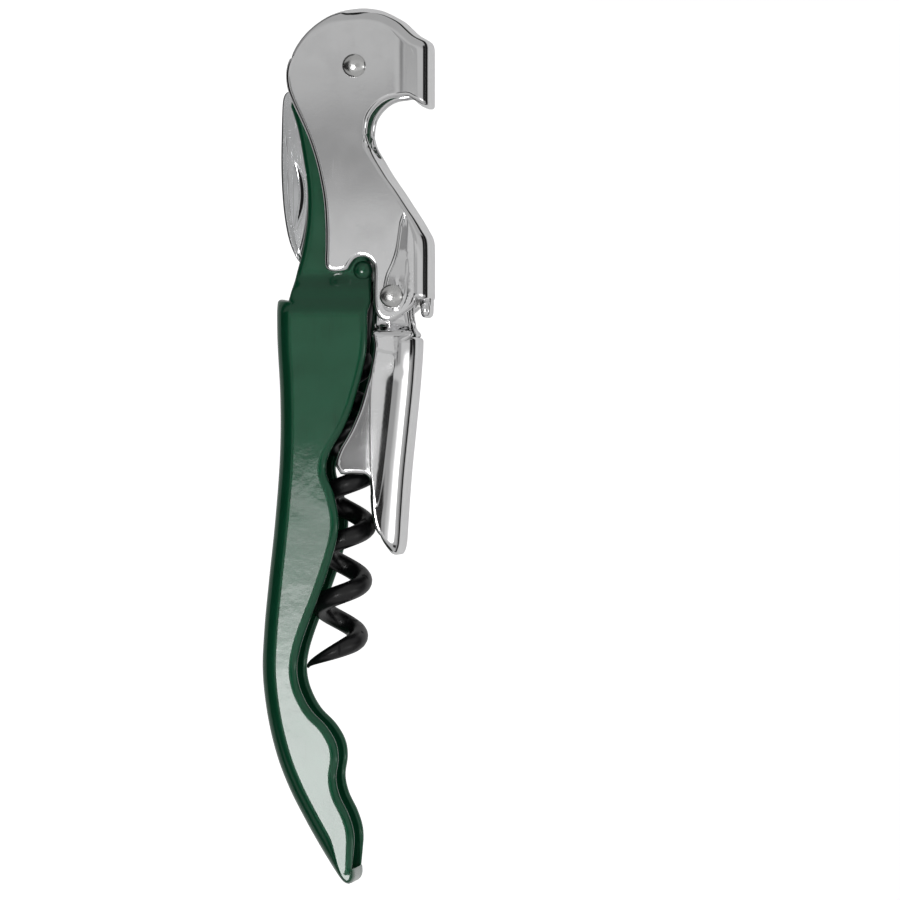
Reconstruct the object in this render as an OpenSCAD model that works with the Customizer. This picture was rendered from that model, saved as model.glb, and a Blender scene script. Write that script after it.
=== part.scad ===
// Double-hinged lever corkscrew, folded shut and lying on its side.
// X runs across the tool, Y runs along it toward the head, Z runs through its thickness.
// Outlines are drawn from the head rivet, with Z = 0 halfway through the tool, and laid() sets
// the finished tool on Z = 0 with X = Y = 0 in the middle of its outline.

/* [Overall] */
// Thickness across the two sides of the handle
body_t = 12.4; // [10.3:0.1:15]
// Distance from the head rivet to the lever rivet, along the tool
neck_len = 31.9; // [26.5:0.1:38.5]
// Distance from the lever rivet to the tip of the handle, along the tool
grip_len = 81.5; // [67.5:0.5:98]

/* [Handle] */
// Thickness of the handle's sheet
handle_sheet = 1.2; // [0.9:0.1:1.5]
// Outside radius of the bend between a side and the spine
spine_bend = 1.8; // [1.5:0.1:2.2]
// Radius of the neck's round end, which turns inside the lever's head
neck_head_r = 6.2; // [5.1:0.1:6.2]
// Radius of the domed lug over the worm pin
lug_r = 1.3; // [1.1:0.1:1.5]
// Space between the neck's sides and the upper lever's, which the lugs and bosses take up
neck_gap = 0.6; // [0.4:0.05:0.75]
// Radius of the flat boss round the head rivet
boss_r = 3; // [2.4:0.1:3.6]

/* [Levers] */
// Thickness of the levers' sheet
lever_sheet = 1.2; // [0.9:0.1:1.5]
// Outside radius of the bends in the levers
lever_bend = 2.0; // [1.6:0.1:2.4]
// Distance from the lever rivet to the tip of the lower lever, along the tool
lower_len = 35.6; // [29.5:0.1:43]
// Half width of the slot in the lever's head, which the blade passes through
head_slot = 1.5; // [1.2:0.1:2]
// Height of the lip below the first-step foot
foot_lip = 2.6; // [2.1:0.1:3]
// How far the lower lever stands in from the handle's outer faces, on each side
lower_inset = 0.2; // [0.1:0.05:0.4]
// Space between the handle's edge and the lower lever's edge
edge_gap = 0.9; // [0.7:0.05:1.2]

/* [Rivets and pins] */
// Diameter of the two rivets
rivet_d = 2.5; // [2:0.1:3]
// How far each rivet's head stands proud
dome_h = 0.72; // [0.6:0.02:0.74]
// How much wider a rivet's head is than its shank, on each side
dome_rim = 0.4; // [0.3:0.05:0.6]
// Diameter of the worm's pin
worm_pin_d = 1.8; // [1.5:0.1:2.2]
// Wall of the tube on the lever rivet
spacer_wall = 0.4; // [0.3:0.05:0.5]
// Radial play of everything that turns on a rivet or a pin
bore_play = 0.05; // [0.03:0.01:0.08]
// Side play between flat sheets that slide past each other
side_play = 0.1; // [0.06:0.01:0.15]

/* [Worm] */
// Distance from the worm's pin to its point
worm_len = 55.6; // [46:0.1:67]
// Diameter of the worm's wire
wire_d = 2.7; // [2.2:0.1:3.2]
// Diameter of the flattened wire round the eye
eye_wire_d = 2.4; // [2:0.1:2.6]
// Advance of the worm in one turn
worm_pitch = 7.7; // [6.4:0.1:9.2]
// Straight shank between the eye and the first turn
shank_len = 11; // [9:0.5:14]
// Side room for the worm inside the lower lever
worm_room = 0.7; // [0.4:0.1:1.2]
// Lean of the worm from the tool's length, in degrees
worm_lean = 4.3; // [3:0.1:5]

/* [Blade] */
// Thickness of the foil blade
blade_t = 1.6; // [1.3:0.1:1.9]
// Distance from the rivet to the blade's point, along the tool
blade_len = 28.1; // [23.4:0.1:28.5]
// Depth of the nail nick
nick_depth = 0.45; // [0.3:0.05:0.6]
// Radius of the scallops along the cutting edge
scallop_r = 0.9; // [0.7:0.05:1.1]

/* [Spring] */
// Thickness of the leaf spring
spring_t = 0.5; // [0.4:0.05:0.6]
// Width of the leaf spring
spring_w = 4.8; // [4:0.1:5.2]

/* [Hidden] */
$fn = 64;
green = "#1f5a33";
chrome = "#b8bcc0";
steel = "#9ea3a6";
black = "#1c1c1e";

// The outlines below are drawn for these lengths, and stretched to the lengths above.
drawn_neck_len = 31.9;
drawn_grip_len = 81.5;
drawn_lower_len = 35.6;
drawn_blade_len = 28.1;
neck_more = neck_len - drawn_neck_len;
grip_more = grip_len - drawn_grip_len;
lower_more = lower_len - drawn_lower_len;
// The plain stretches of the neck, grip and lower lever that take up a change of length.
neck_run = [-12, -24];
grip_run = [-38, -108];
lower_run = [-40, -53];

dome_play = 0.03; // space under each rivet head
// Half widths, from the outside in: rivet heads, upper lever, neck and ears.
half_t = body_t / 2;
grip_in = half_t - handle_sheet;
lower_out = half_t - lower_inset;
lower_in = lower_out - lever_sheet;
upper_out = half_t - dome_h - dome_play;
upper_in = upper_out - lever_sheet;
neck_out = upper_in - neck_gap;
lug_out = upper_in - side_play;
neck_in = neck_out - handle_sheet;
ear_out = upper_in - side_play;
ear_in = ear_out - lever_sheet;
lip_half = ear_in - 0.3;
// Walls of the rings that fill the neck beside the worm's eye and beside the blade.
pin_spacer_wall = 1;
knife_spacer_wall = 1.7;

rivet_r = rivet_d / 2;
bore_r = rivet_r + bore_play;
worm_pin_r = worm_pin_d / 2;
eye_wire_r = eye_wire_d / 2;
eye_r = worm_pin_r + bore_play + eye_wire_r;
wire_r = wire_d / 2;
worm_r = lower_in - worm_room - wire_r;
weld = 0.3; // how far pieces of one sheet run into each other
beyond = 5; // how far cuts and step lines run on past the metal
lug_wall = 0.1; // height of the straight wall round each lug, below its dome
lug_worn = 0.02; // how much of each lug's dome is flat on top

// Points drawn along the neck and grip move with their lengths.
function along(y) =
    y >= neck_run[0] ? y :
    y >= neck_run[1] ? neck_run[0] + (y - neck_run[0]) * neck_k :
    y >= grip_run[0] ? y - neck_more :
    y >= grip_run[1] ? grip_run[0] - neck_more + (y - grip_run[0]) * grip_k :
    y - neck_more - grip_more;
neck_k = 1 + neck_more / (neck_run[0] - neck_run[1]);
grip_k = 1 + grip_more / (grip_run[0] - grip_run[1]);
function set_out(pts) = [for (p = pts) [p.x, along(p.y)]];

// Points drawn along the lower lever move with its own length.
lower_k = 1 + lower_more / (lower_run[0] - lower_run[1]);
function along_lower(y) =
    (y >= lower_run[0] ? y :
     y >= lower_run[1] ? lower_run[0] + (y - lower_run[0]) * lower_k :
     y - lower_more) - neck_more;
function set_out_lower(pts) = [for (p = pts) [p.x, along_lower(p.y)]];

// A smooth curve through the points, with so many steps from one to the next.
function mix(a, b, c, d, t) =
    ((2 * b) + (c - a) * t + (2 * a - 5 * b + 4 * c - d) * t * t
     + (3 * b - a - 3 * c + d) * t * t * t) / 2;
function curve(p, steps) =
    let (last = len(p) - 1)
    [for (i = [0 : last - 1], k = [0 : steps - 1])
        mix(p[max(i - 1, 0)], p[i], p[i + 1], p[min(i + 2, last)], k / steps),
     p[last]];
function arc(c, r, from, to, steps) =
    [for (i = [0 : steps]) let (a = from + (to - from) * i / steps) c + r * [cos(a), sin(a)]];
function reversed(p) = [for (i = [len(p) - 1 : -1 : 0]) p[i]];
function tail(p) = [for (i = [1 : len(p) - 1]) p[i]];

// The points moved sideways off the line that they lie on, to its left by d.
function unit(v) = v / norm(v);
function left_of(p, i) =
    let (v = unit(p[min(i + 1, len(p) - 1)] - p[max(i - 1, 0)])) [-v.y, v.x];
function beside(p, d) = [for (i = [0 : len(p) - 1]) p[i] + d * left_of(p, i)];

// --- Where the pivots are ---
lever_pivot = [5.2, along(-31.9)];
worm_pivot = [1.0, along(-28.3)];

// --- Outlines of the handle ---
spine = curve(set_out([
    [-10.95, -32.4], [-10.9, -38], [-10.5, -46], [-10.5, -54], [-11.1, -63], [-12.0, -71.5],
    [-12.75, -78], [-12.97, -84], [-12.3, -90], [-11.0, -95.5], [-9.2, -100.2], [-7.0, -104.5],
    [-4.9, -108.2], [-2.9, -111.4]]), 3);
lip = curve(set_out([
    [2.3, -32.6], [1.6, -34.2], [1.45, -36.7], [1.25, -39.6], [0.75, -42.2], [0.0, -45],
    [-1.04, -48], [-2.3, -50.7], [-3.5, -52.9], [-4.1, -55], [-3.8, -56.8], [-2.7, -59.4],
    [-2.07, -62.9], [-2.4, -66], [-3.7, -70.4], [-5.2, -74.5], [-6.7, -78.4], [-7.6, -81.4],
    [-7.87, -84], [-7.3, -86.6], [-5.9, -89.2], [-3.8, -91.4], [-2.45, -93.7], [-2.1, -96],
    [-2.42, -98.7], [-1.9, -101.1], [-0.7, -103.6], [0.05, -106.1], [0.1, -109]]), 2);
tip = curve(set_out([
    [0.1, -109], [-0.05, -111.2], [0.05, -112.3], [-0.35, -113.1], [-0.9, -113.4],
    [-1.7, -113.0], [-2.9, -111.4]]), 4);
tip_inside = set_out([[-1.9, -110.9], [-1.4, -111.8], [-1.1, -112.15], [-0.85, -111.9], [-0.75, -111.0]]);
neck_left = set_out([
    [-9.0, -4.3], [-9.4, -5.0], [-8.85, -6.6], [-8.2, -8.8], [-7.5, -12.5],
    [-7.0, -16], [-6.85, -18.7], [-7.0, -22], [-7.6, -25.6], [-8.55, -29.2], [-9.1, -32.4]]);
neck_right = set_out([
    [2.3, -32.6], [2.3, -29], [2.1, -27.4], [1.4, -24.5], [1.0, -20], [0.8, -15], [0.9, -11],
    [1.3, -8]]);
shoulder = [along(-28.9), along(-34.2)];
web_top = along(-32.4);

// --- Outlines of the upper lever ---
head_top = curve([
    [-0.9, 7.85], [0.9, 8.05], [2.4, 7.95], [3.8, 7.65], [5.2, 7.05], [6.4, 6.3], [7.4, 5.35],
    [8.3, 4.55], [9.5, 3.85]], 2);
hook_x = 10.3;
hook_low = -5.8;
hook_web = [for (y = [3.45, 1.5, -1.5, -4, hook_low]) [hook_x, y]];
hook_trim = [[7.6, -4.35], [8.3, -4.5], [9.0, -5.2], [9.05, -7.5], [7.6, -7.5]];
notch = curve([
    [hook_x - lever_bend, -4.5], [7.4, -4.3], [6.2, -4.4], [4.9, -4.6], [3.7, -5.2], [2.6, -6.3],
    [1.95, -7.5], [1.7, -9.1], [1.9, -10.8]], 3);
foot_web = curve(set_out([
    [2.7, -11.95], [4.05, -14.2], [5.05, -15.75], [6.2, -17.4], [7.5, -19.4], [8.8, -21.4],
    [9.6, -22.8], [10.15, -23.9], [hook_x, -25.4], [hook_x, -29], [hook_x, -32.3]]), 2);
foot_low = along(-32.3);
upper_low_edge = set_out([
    [8.4, -33.2], [7.5, -34.0], [6.3, -34.8], [5.2, -35.4], [4.3, -35.4], [3.4, -34.9],
    [2.85, -34.0], [2.65, -33.0], [2.62, -28.4]]);
lug_cut = arc(worm_pivot + [0, 0.15], lug_r + 0.35, 0, 180, 8);
upper_left_edge = curve(set_out([
    [-0.9, -28.5], [-3.3, -28.45], [-3.7, -27.6], [-3.45, -24.9], [-3.45, -22], [-3.66, -18.7],
    [-4.14, -15.95], [-4.9, -13.2], [-5.73, -10.4], [-6.84, -7.67], [-8.15, -4.9], [-9.0, -3.2],
    [-9.19, -1.8], [-8.77, 0.9], [-7.39, 3.52], [-6.0, 5.1], [-4.63, 6.15], [-3.25, 6.97],
    [-2.0, 7.45]]), 2);

// --- Outlines of the lower lever ---
lower_web = curve(set_out_lower([
    [8.66, -37.8], [8.6, -40], [8.25, -44.7], [7.7, -50.2], [7.14, -55.7], [6.6, -62.4],
    [6.3, -66], [6.05, -67.5]]), 3);
lower_step = curve(set_out_lower([
    [1.6, -56.6], [2.3, -57.4], [2.45, -60], [2.85, -62.2], [3.55, -63.9], [4.5, -64.75],
    [5.1, -65.9], [5.75, -67.2], [6.3, -68.2]]), 2);
lower_step_out = set_out_lower([[6.3, -72], [-4, -72], [-4, -58]]);
edge_rows = [-55.6, -54.2, -52.9, -51.6, -50.3, -48.9, -47.5, -46, -44.5, -43, -41.4, -40, -38.6];
lip_at = [for (p = reversed(lip)) [p.y, p.x]];
function by_the_lip(y) = let (row = along_lower(y)) [lookup(row, lip_at) + edge_gap, row];
lower_left_edge = [for (y = edge_rows) by_the_lip(y)];
corner_in = 0.35; // how far the lower lever's corner is rounded off
lower_low_edge = concat(
    set_out_lower([[2.0, -66], [1.6, -56.6], [-0.5, -56.5]]),
    [by_the_lip(-56.35) + [corner_in, 0]]);
ear_r = 2.5;
ear_right = set_out([[7.4, -33.1], [7.35, -34.2], [7.7, -36], [8.0, -36.6]]);
ear_left = set_out([[2.55, -37.2], [2.7, -34.5], [2.75, -32.8]]);
lower_step_rows = [along(-36.15), along(-36.85)];

// --- Outline of the blade ---
function set_out_blade(pts) = [for (p = pts) [p.x, p.y > -12 ? p.y : -12 + (p.y + 12) * blade_tail_k]];
blade_tail_k = (blade_len - 12) / (drawn_blade_len - 12);
blade_back = curve(set_out_blade([
    [-10.2, -2.15], [-10.45, -5], [-10.55, -9], [-10.6, -13.5], [-10.45, -17.5], [-10.15, -21],
    [-9.5, -24.2], [-8.6, -26.5], [-7.4, -28.1]]), 3);
blade_edge = curve(set_out_blade([
    [-6.3, -26.6], [-5.5, -24], [-5.1, -20.5], [-5.0, -17], [-5.3, -13.5], [-6.2, -11.2],
    [-6.75, -9.6]]), 3);
choil = [[-6.1, -8.1], [-4.6, -6.4], [-3.1, -5.0]];
heel_r = 3.1;
nick_at = [-9.6, -17.6];
nick_len = 9;
nick_w = 1.6;
scallop_rows = [-14.6, -16.3, -18, -19.7, -21.4, -23.1];
edge_at = [for (p = blade_edge) [p.y, p.x]];
scallop_out = scallop_r * 0.6; // how far outside the edge the scallops' middles are

// --- Shared shapes ---

// The finished tool's outline is centred on the origin, and its underside is at Z = 0.
outline_min = [min([for (p = spine) p.x]), min([for (p = tip) p.y])];
outline_max = [hook_x, max([for (p = head_top) p.y])];
module laid() {
    middle = (outline_min + outline_max) / 2;
    translate([-middle.x, -middle.y, half_t]) children();
}

module both_sides() {
    children();
    mirror([0, 0, 1]) children();
}

// One side of a folded sheet, flat between two half widths.
module side(points, from, to) {
    translate([0, 0, from]) linear_extrude(to - from) polygon(points);
}

// One side of a folded sheet, with the steps that rows of [y, half width] give it.
module stepped_side(points, rows, sheet) {
    last = rows[len(rows) - 1];
    line = concat([rows[0] + [beyond, 0]], rows, [last - [beyond, 0]]);
    section = concat(line, [for (r = reversed(line)) r - [0, sheet]]);
    intersection() {
        linear_extrude(half_t + 1) polygon(points);
        translate([-30, 0, 0]) rotate([90, 0, 90]) linear_extrude(60) polygon(section);
    }
}

// The web of a folded sheet: it follows the outer line, and bends round into both sides.
// The sheet lies to the left of the line.
bend_steps = 4;
function bend_ring(bend, half) = concat(
    [[bend + weld, half]],
    [for (i = [0 : bend_steps]) let (a = 90 * i / bend_steps)
        [bend - bend * sin(a), half - bend + bend * cos(a)]]);
function bend_back(sheet, bend, half) = concat(
    [for (i = [bend_steps : -1 : 0]) let (a = 90 * i / bend_steps, r = bend - sheet)
        [bend - r * sin(a), half - bend + r * cos(a)]],
    [[bend + weld, half - sheet]]);
function mirrored(ring) = [for (q = reversed(ring)) [q[0], -q[1]]];

module sweep(line, ring) {
    n = len(ring);
    m = len(line);
    points = [for (i = [0 : m - 1], q = ring)
        let (p = line[i] + q[0] * left_of(line, i)) [p.x, p.y, q[1]]];
    sides = [for (i = [0 : m - 2], k = [0 : n - 1])
        let (a = i * n + k, b = i * n + (k + 1) % n)
        each [[b, a, b + n], [b + n, a, a + n]]];
    caps = [for (k = [0 : n / 2 - 2])
        each [[k, k + 1, n - 1 - k], [n - 1 - k, k + 1, n - 2 - k]]];
    far_caps = [for (f = caps) [for (v = reversed(f)) v + (m - 1) * n]];
    polyhedron(points, concat(sides, caps, far_caps), convexity = 6);
}

module web(line, sheet, bend, half) {
    outer = bend_ring(bend, half);
    inner = bend_back(sheet, bend, half);
    sweep(line, concat(outer, mirrored(outer), mirrored(inner), inner));
}

// A web that is slotted along its middle, so that only a flange is left on each side.
module slotted_web(line, sheet, bend, half, slot) {
    outer = bend_ring(bend, half);
    inner = bend_back(sheet, bend, half);
    both_sides() sweep(line, concat(outer, [[0, slot]], [[sheet, slot]], inner));
}

module hole(at, r) {
    translate([at.x, at.y, -half_t - 1]) cylinder(h = body_t + 2, r = r);
}

module ring(at, outer, bore, from, to) {
    translate([at.x, at.y, from]) difference() {
        cylinder(h = to - from, r = outer);
        translate([0, 0, -1]) cylinder(h = to - from + 2, r = bore);
    }
}

// A rivet through both sides of the upper lever, with a domed head at each end.
module rivet(at) {
    rim = rivet_r + dome_rim;
    ball = (rim * rim + dome_h * dome_h) / (2 * dome_h);
    translate([at.x, at.y, 0]) {
        translate([0, 0, -upper_out - dome_play - 0.01])
            cylinder(h = 2 * (upper_out + dome_play + 0.01), r = rivet_r);
        both_sides() intersection() {
            translate([0, 0, upper_out + dome_play + dome_h - ball]) sphere(r = ball, $fn = 96);
            translate([0, 0, upper_out + dome_play]) cylinder(h = dome_h + 1, r = rim);
        }
    }
}

// --- The pieces ---

module handle_side() {
    outline = concat(
        arc([0, 0], neck_head_r, -60, 203, 36),
        neck_left, [for (p = beside(spine, spine_bend)) if (p.y < web_top) p],
        reversed(tip), tail(reversed(lip)), tail(neck_right));
    rows = [[neck_head_r, neck_out], [shoulder[0], neck_out], [shoulder[1], half_t],
            [outline_min.y, half_t]];
    stepped_side(outline, rows, handle_sheet);
}

// The lug over each end of the worm's pin, which the upper lever's side slides over.
module lug() {
    dome = lug_out - neck_out - lug_wall + lug_worn;
    ball = (lug_r * lug_r + dome * dome) / (2 * dome);
    foot = neck_out - weld;
    translate([worm_pivot.x, worm_pivot.y, 0]) intersection() {
        translate([0, 0, foot]) cylinder(h = lug_out - foot, r = lug_r);
        translate([0, 0, lug_out + lug_worn - ball]) sphere(r = ball);
    }
}

// The boss that keeps the upper lever's side off the neck.
module boss() {
    foot = neck_out - weld;
    translate([0, 0, foot]) cylinder(h = lug_out - foot, r = boss_r);
}

module tip_wall() {
    top = tip_inside[len(tip_inside) - 1].y;
    row = len(spine) - 2;
    wall = concat(
        [for (p = tip) if (p.y < top) p],
        [beside(spine, weld)[row], beside(spine, handle_sheet)[row]],
        tip_inside);
    half = grip_in + weld;
    translate([0, 0, -half]) linear_extrude(2 * half) polygon(wall);
}

module handle() {
    color(green) laid() difference() {
        union() {
            both_sides() {
                handle_side();
                lug();
                boss();
            }
            web(spine, handle_sheet, spine_bend, half_t);
            tip_wall();
        }
        hole([0, 0], bore_r);
        translate([worm_pivot.x, worm_pivot.y, -neck_out])
            cylinder(h = 2 * neck_out, r = worm_pin_r + bore_play);
    }
}

module upper_side() {
    outline = concat(
        [for (p = reversed(beside(reversed(head_top), lever_bend)))
            if (p.x < hook_x - lever_bend - 0.6) p],
        [[hook_x - lever_bend, 2.4]],
        notch,
        reversed(beside(reversed(foot_web), lever_bend)),
        upper_low_edge, lug_cut, upper_left_edge);
    side(outline, upper_in, upper_out);
}

// A lip with a round end that runs on below the web, as wide as the tool allows there.
module lip_below(end, drop, half) {
    r = lever_sheet / 2;
    top = end + weld;
    section = concat(
        [[hook_x, top], [hook_x - lever_sheet, top]],
        arc([hook_x - r, end - drop + r], r, 180, 360, 12));
    translate([0, 0, -half]) linear_extrude(2 * half) polygon(section);
}

module upper_lever() {
    color(chrome) laid() difference() {
        union() {
            both_sides() upper_side();
            slotted_web(reversed(head_top), lever_sheet, lever_bend, upper_out, head_slot);
            web(reversed(hook_web), lever_sheet, lever_bend, upper_out);
            web(reversed(foot_web), lever_sheet, lever_bend, upper_out);
            lip_below(hook_low, lever_sheet / 2, upper_out - lever_bend);
            lip_below(foot_low, foot_lip, lip_half);
        }
        translate([0, 0, -half_t]) linear_extrude(body_t) polygon(hook_trim);
        hole([0, 0], bore_r);
        hole(lever_pivot, bore_r);
    }
}

module lower_side() {
    outline = concat(
        reversed(arc(lever_pivot, ear_r, -20, 200, 24)), ear_right,
        reversed(beside(reversed(lower_web), lever_bend)),
        lower_low_edge, lower_left_edge, ear_left);
    rows = [[lever_pivot.y + ear_r, ear_out], [lower_step_rows[0], ear_out],
            [lower_step_rows[1], lower_out], [along_lower(-68), lower_out]];
    stepped_side(outline, rows, lever_sheet);
}

module lower_lever() {
    color(chrome) laid() difference() {
        union() {
            both_sides() lower_side();
            web(reversed(lower_web), lever_sheet, lever_bend, lower_out);
        }
        translate([0, 0, -half_t]) linear_extrude(body_t) polygon(concat(lower_step, lower_step_out));
        hole(lever_pivot, bore_r);
    }
}

module head_rivet() {
    color(steel) laid() rivet([0, 0]);
}

module lever_rivet() {
    color(steel) laid() rivet(lever_pivot);
}

module worm_pin() {
    color(steel) laid() translate([worm_pivot.x, worm_pivot.y, -neck_out])
        cylinder(h = 2 * neck_out, r = worm_pin_r);
}

module worm_spacers() {
    color(steel) laid() both_sides()
        ring(worm_pivot, worm_pin_r + pin_spacer_wall, worm_pin_r + bore_play,
             eye_wire_r + bore_play, neck_in - bore_play);
}

module knife_spacers() {
    color(steel) laid() both_sides()
        ring([0, 0], rivet_r + knife_spacer_wall, bore_r,
             blade_t / 2 + bore_play, neck_in - bore_play);
}

module lever_spacer() {
    color(steel) laid()
        ring(lever_pivot, bore_r + spacer_wall, bore_r, bore_play - ear_in, ear_in - bore_play);
}

// The worm: a ring of wire on the pin, a straight shank, then turns that widen quickly to
// the full width and taper to a point.
worm_turns = (worm_len - shank_len) / worm_pitch;
worm_steps = 22;
tip_turns = 0.6;
tip_size = 0.12; // the point's thickness, as a part of the wire's
widen_turns = 0.75;
function ease(t) = let (u = max(0, min(1, t))) u * u * (3 - 2 * u);
function mixed(a, b, t) = a + (b - a) * t;
function worm_at(t) =
    let (r = worm_r * ease(t / widen_turns), a = 360 * (t - worm_turns) + 180)
    [r * cos(a), -shank_len - t * worm_pitch, r * sin(a)];
function wire_at(t) = wire_r * mixed(tip_size, 1, min(1, (worm_turns - t) / tip_turns));
wire_sides = 10;
worm_rings = floor(worm_turns * worm_steps);
module worm_wire() {
    start = [0, -eye_r, 0];
    ts = [for (i = [0 : worm_rings]) worm_turns * i / worm_rings];
    path = concat([start], [for (t = ts) worm_at(t)]);
    size = concat([wire_r], [for (t = ts) wire_at(t)]);
    last = len(path) - 1;
    points = [for (i = [0 : last])
        let (v = unit(path[min(i + 1, last)] - path[max(i - 1, 0)]),
             out = unit([1, 0, 0] - v * v.x),
             up = cross(v, out))
        each [for (k = [0 : wire_sides - 1]) let (a = 360 * k / wire_sides)
            path[i] + size[i] * (cos(a) * out + sin(a) * up)]];
    sides = [for (i = [0 : last - 1], k = [0 : wire_sides - 1])
        let (a = i * wire_sides + k, b = i * wire_sides + (k + 1) % wire_sides)
        each [[b, a, b + wire_sides], [b + wire_sides, a, a + wire_sides]]];
    caps = [for (k = [1 : wire_sides - 2]) each [[0, k, k + 1],
        [last * wire_sides, last * wire_sides + k + 1, last * wire_sides + k]]];
    polyhedron(points, concat(sides, caps), convexity = 8);
}

module worm() {
    color(black) laid() translate([worm_pivot.x, worm_pivot.y, 0]) rotate([0, 0, -worm_lean]) union() {
        rotate_extrude() translate([eye_r, 0]) circle(r = eye_wire_r, $fn = 32);
        worm_wire();
    }
}

// The nail nick is a shallow groove along the blade, deepest in the middle of its length.
module nick() {
    r = (nick_len * nick_len / 4 + nick_depth * nick_depth) / (2 * nick_depth);
    translate([nick_at.x, nick_at.y, blade_t / 2 - nick_depth + r]) rotate([0, 90, 0])
        cylinder(h = nick_w, r = r, $fn = 180);
}

module foil_knife() {
    outline = concat(
        [[-8.2, -0.5]], blade_back, blade_edge, choil, arc([0, 0], heel_r, -110, 100, 28));
    color(steel) laid() difference() {
        translate([0, 0, -blade_t / 2]) linear_extrude(blade_t) polygon(outline);
        hole([0, 0], bore_r);
        nick();
        for (y = scallop_rows) hole([lookup(y, edge_at) + scallop_out, y], scallop_r);
    }
}

// A leaf that lies against the upper lever's back wall and bows off it at its free end.
module lever_spring() {
    back = hook_x - lever_sheet;
    low = lever_pivot.y - 1.5;
    line = [[back, along(-25.5)], [back, low + 5], [back - 0.35, low + 2.5], [back - 0.25, low]];
    leaf = concat(line, [for (p = reversed(line)) p - [spring_t, 0]]);
    color(steel) laid() translate([0, 0, -spring_w / 2]) linear_extrude(spring_w) polygon(leaf);
}

handle();
upper_lever();
lower_lever();
head_rivet();
lever_rivet();
worm();
worm_pin();
worm_spacers();
foil_knife();
knife_spacers();
lever_spacer();
lever_spring();
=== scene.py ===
"""Looks of a double-hinged lever corkscrew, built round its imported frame.

Sizes are in millimetres from the middle of the head rivet: X across the tool, Y along it
toward the head, Z up from the middle of its thickness. Bench.placed() sets them in the frame.
"""

import logging
import math
from collections.abc import Callable, Sequence
from dataclasses import dataclass, field
from enum import Enum

import bmesh
import bpy
import numpy as np
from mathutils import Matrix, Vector
from mathutils.geometry import delaunay_2d_cdt


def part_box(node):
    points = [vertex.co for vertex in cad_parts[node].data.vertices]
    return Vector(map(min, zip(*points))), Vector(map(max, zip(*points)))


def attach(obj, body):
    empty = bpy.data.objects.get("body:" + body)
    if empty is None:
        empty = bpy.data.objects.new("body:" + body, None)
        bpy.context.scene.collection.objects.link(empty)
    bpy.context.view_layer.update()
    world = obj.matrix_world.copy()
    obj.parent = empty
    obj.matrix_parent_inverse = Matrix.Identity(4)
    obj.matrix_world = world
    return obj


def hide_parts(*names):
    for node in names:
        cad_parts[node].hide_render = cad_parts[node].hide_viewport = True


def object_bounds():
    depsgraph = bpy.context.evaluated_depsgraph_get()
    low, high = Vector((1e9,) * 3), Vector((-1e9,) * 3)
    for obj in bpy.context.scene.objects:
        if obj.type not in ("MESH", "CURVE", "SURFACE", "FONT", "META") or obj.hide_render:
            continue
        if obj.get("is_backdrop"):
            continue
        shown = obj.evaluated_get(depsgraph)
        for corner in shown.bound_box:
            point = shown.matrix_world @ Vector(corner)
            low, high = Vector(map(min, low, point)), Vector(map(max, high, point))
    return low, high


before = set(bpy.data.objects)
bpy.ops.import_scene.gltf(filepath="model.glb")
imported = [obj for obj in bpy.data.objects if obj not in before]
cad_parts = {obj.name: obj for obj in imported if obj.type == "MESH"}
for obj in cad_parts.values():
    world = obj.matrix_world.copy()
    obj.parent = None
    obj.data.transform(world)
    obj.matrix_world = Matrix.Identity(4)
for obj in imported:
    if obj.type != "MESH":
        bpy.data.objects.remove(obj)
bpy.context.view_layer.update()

log = logging.getLogger("corkscrew")

# A millimetre in the frame's metres, and how near two points are merged, in millimetres.
MM = 0.001
WELD = 0.003
# How many pieces a smooth line has between two given points, before it is spaced evenly.
CURVE_STEPS = 16
# A fold that turns less than this, in degrees, has no web.
FULL_TURN = 89.5
# The radius of the rivets' holes.
BORE = 1.3

Pairs = Sequence[tuple[float, float]]
Rows = Sequence[tuple[float, float, float, float, float, float]]
Span = tuple[float, float, float, float]
Colour = tuple[float, ...]
Faces = list[tuple[int, ...]]
PerPoint = Callable[[np.ndarray], np.ndarray]


class Slot(Enum):
    """The record's material slots."""

    PAINT = "green_paint"
    CHROME = "lever_chrome"
    RIVET = "rivet_steel"
    BLADE = "blade_steel"
    INNER = "inner_steel"
    COATING = "black_coating"


class Body(Enum):
    """The frame's bodies."""

    HANDLE = "handle_body"
    UPPER = "upper_lever_body"
    LOWER = "lower_lever_body"
    WORM = "worm_body"
    KNIFE = "knife_body"


# --- Lines and loops ---


def through(points: Pairs, step: float = 0.45) -> np.ndarray:
    """A smooth line through the points, with evenly spaced steps.

    Args:
        points: The points that it passes through.
        step: How far apart the line's own points are, about.

    Returns:
        The line, one row for each point.
    """
    p = np.asarray(points, float)
    t = np.linspace(0, 1, CURVE_STEPS, endpoint=False)[:, None]
    rows = []
    for i in range(len(p) - 1):
        a, b, c, d = p[max(i - 1, 0)], p[i], p[i + 1], p[min(i + 2, len(p) - 1)]
        rows.append(
            0.5
            * (
                2 * b
                + (c - a) * t
                + (2 * a - 5 * b + 4 * c - d) * t**2
                + (3 * b - a - 3 * c + d) * t**3
            )
        )
    return evenly(np.vstack([*rows, p[-1:]]), step)


def evenly(line: np.ndarray, step: float) -> np.ndarray:
    """The same line with its points about step apart."""
    length = np.linalg.norm(np.diff(line, axis=0), axis=1).sum()
    return spaced(line, max(int(round(length / step)), 1))


def closed(points: Pairs, step: float) -> np.ndarray:
    """A smooth line through the points and back to the first."""
    return through((*points, points[0]), step)


def run_of(line: np.ndarray) -> np.ndarray:
    """How far along a line each of its points is."""
    gaps = np.linalg.norm(np.diff(line, axis=0), axis=1)
    return np.concatenate([[0], np.cumsum(gaps)])


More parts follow.
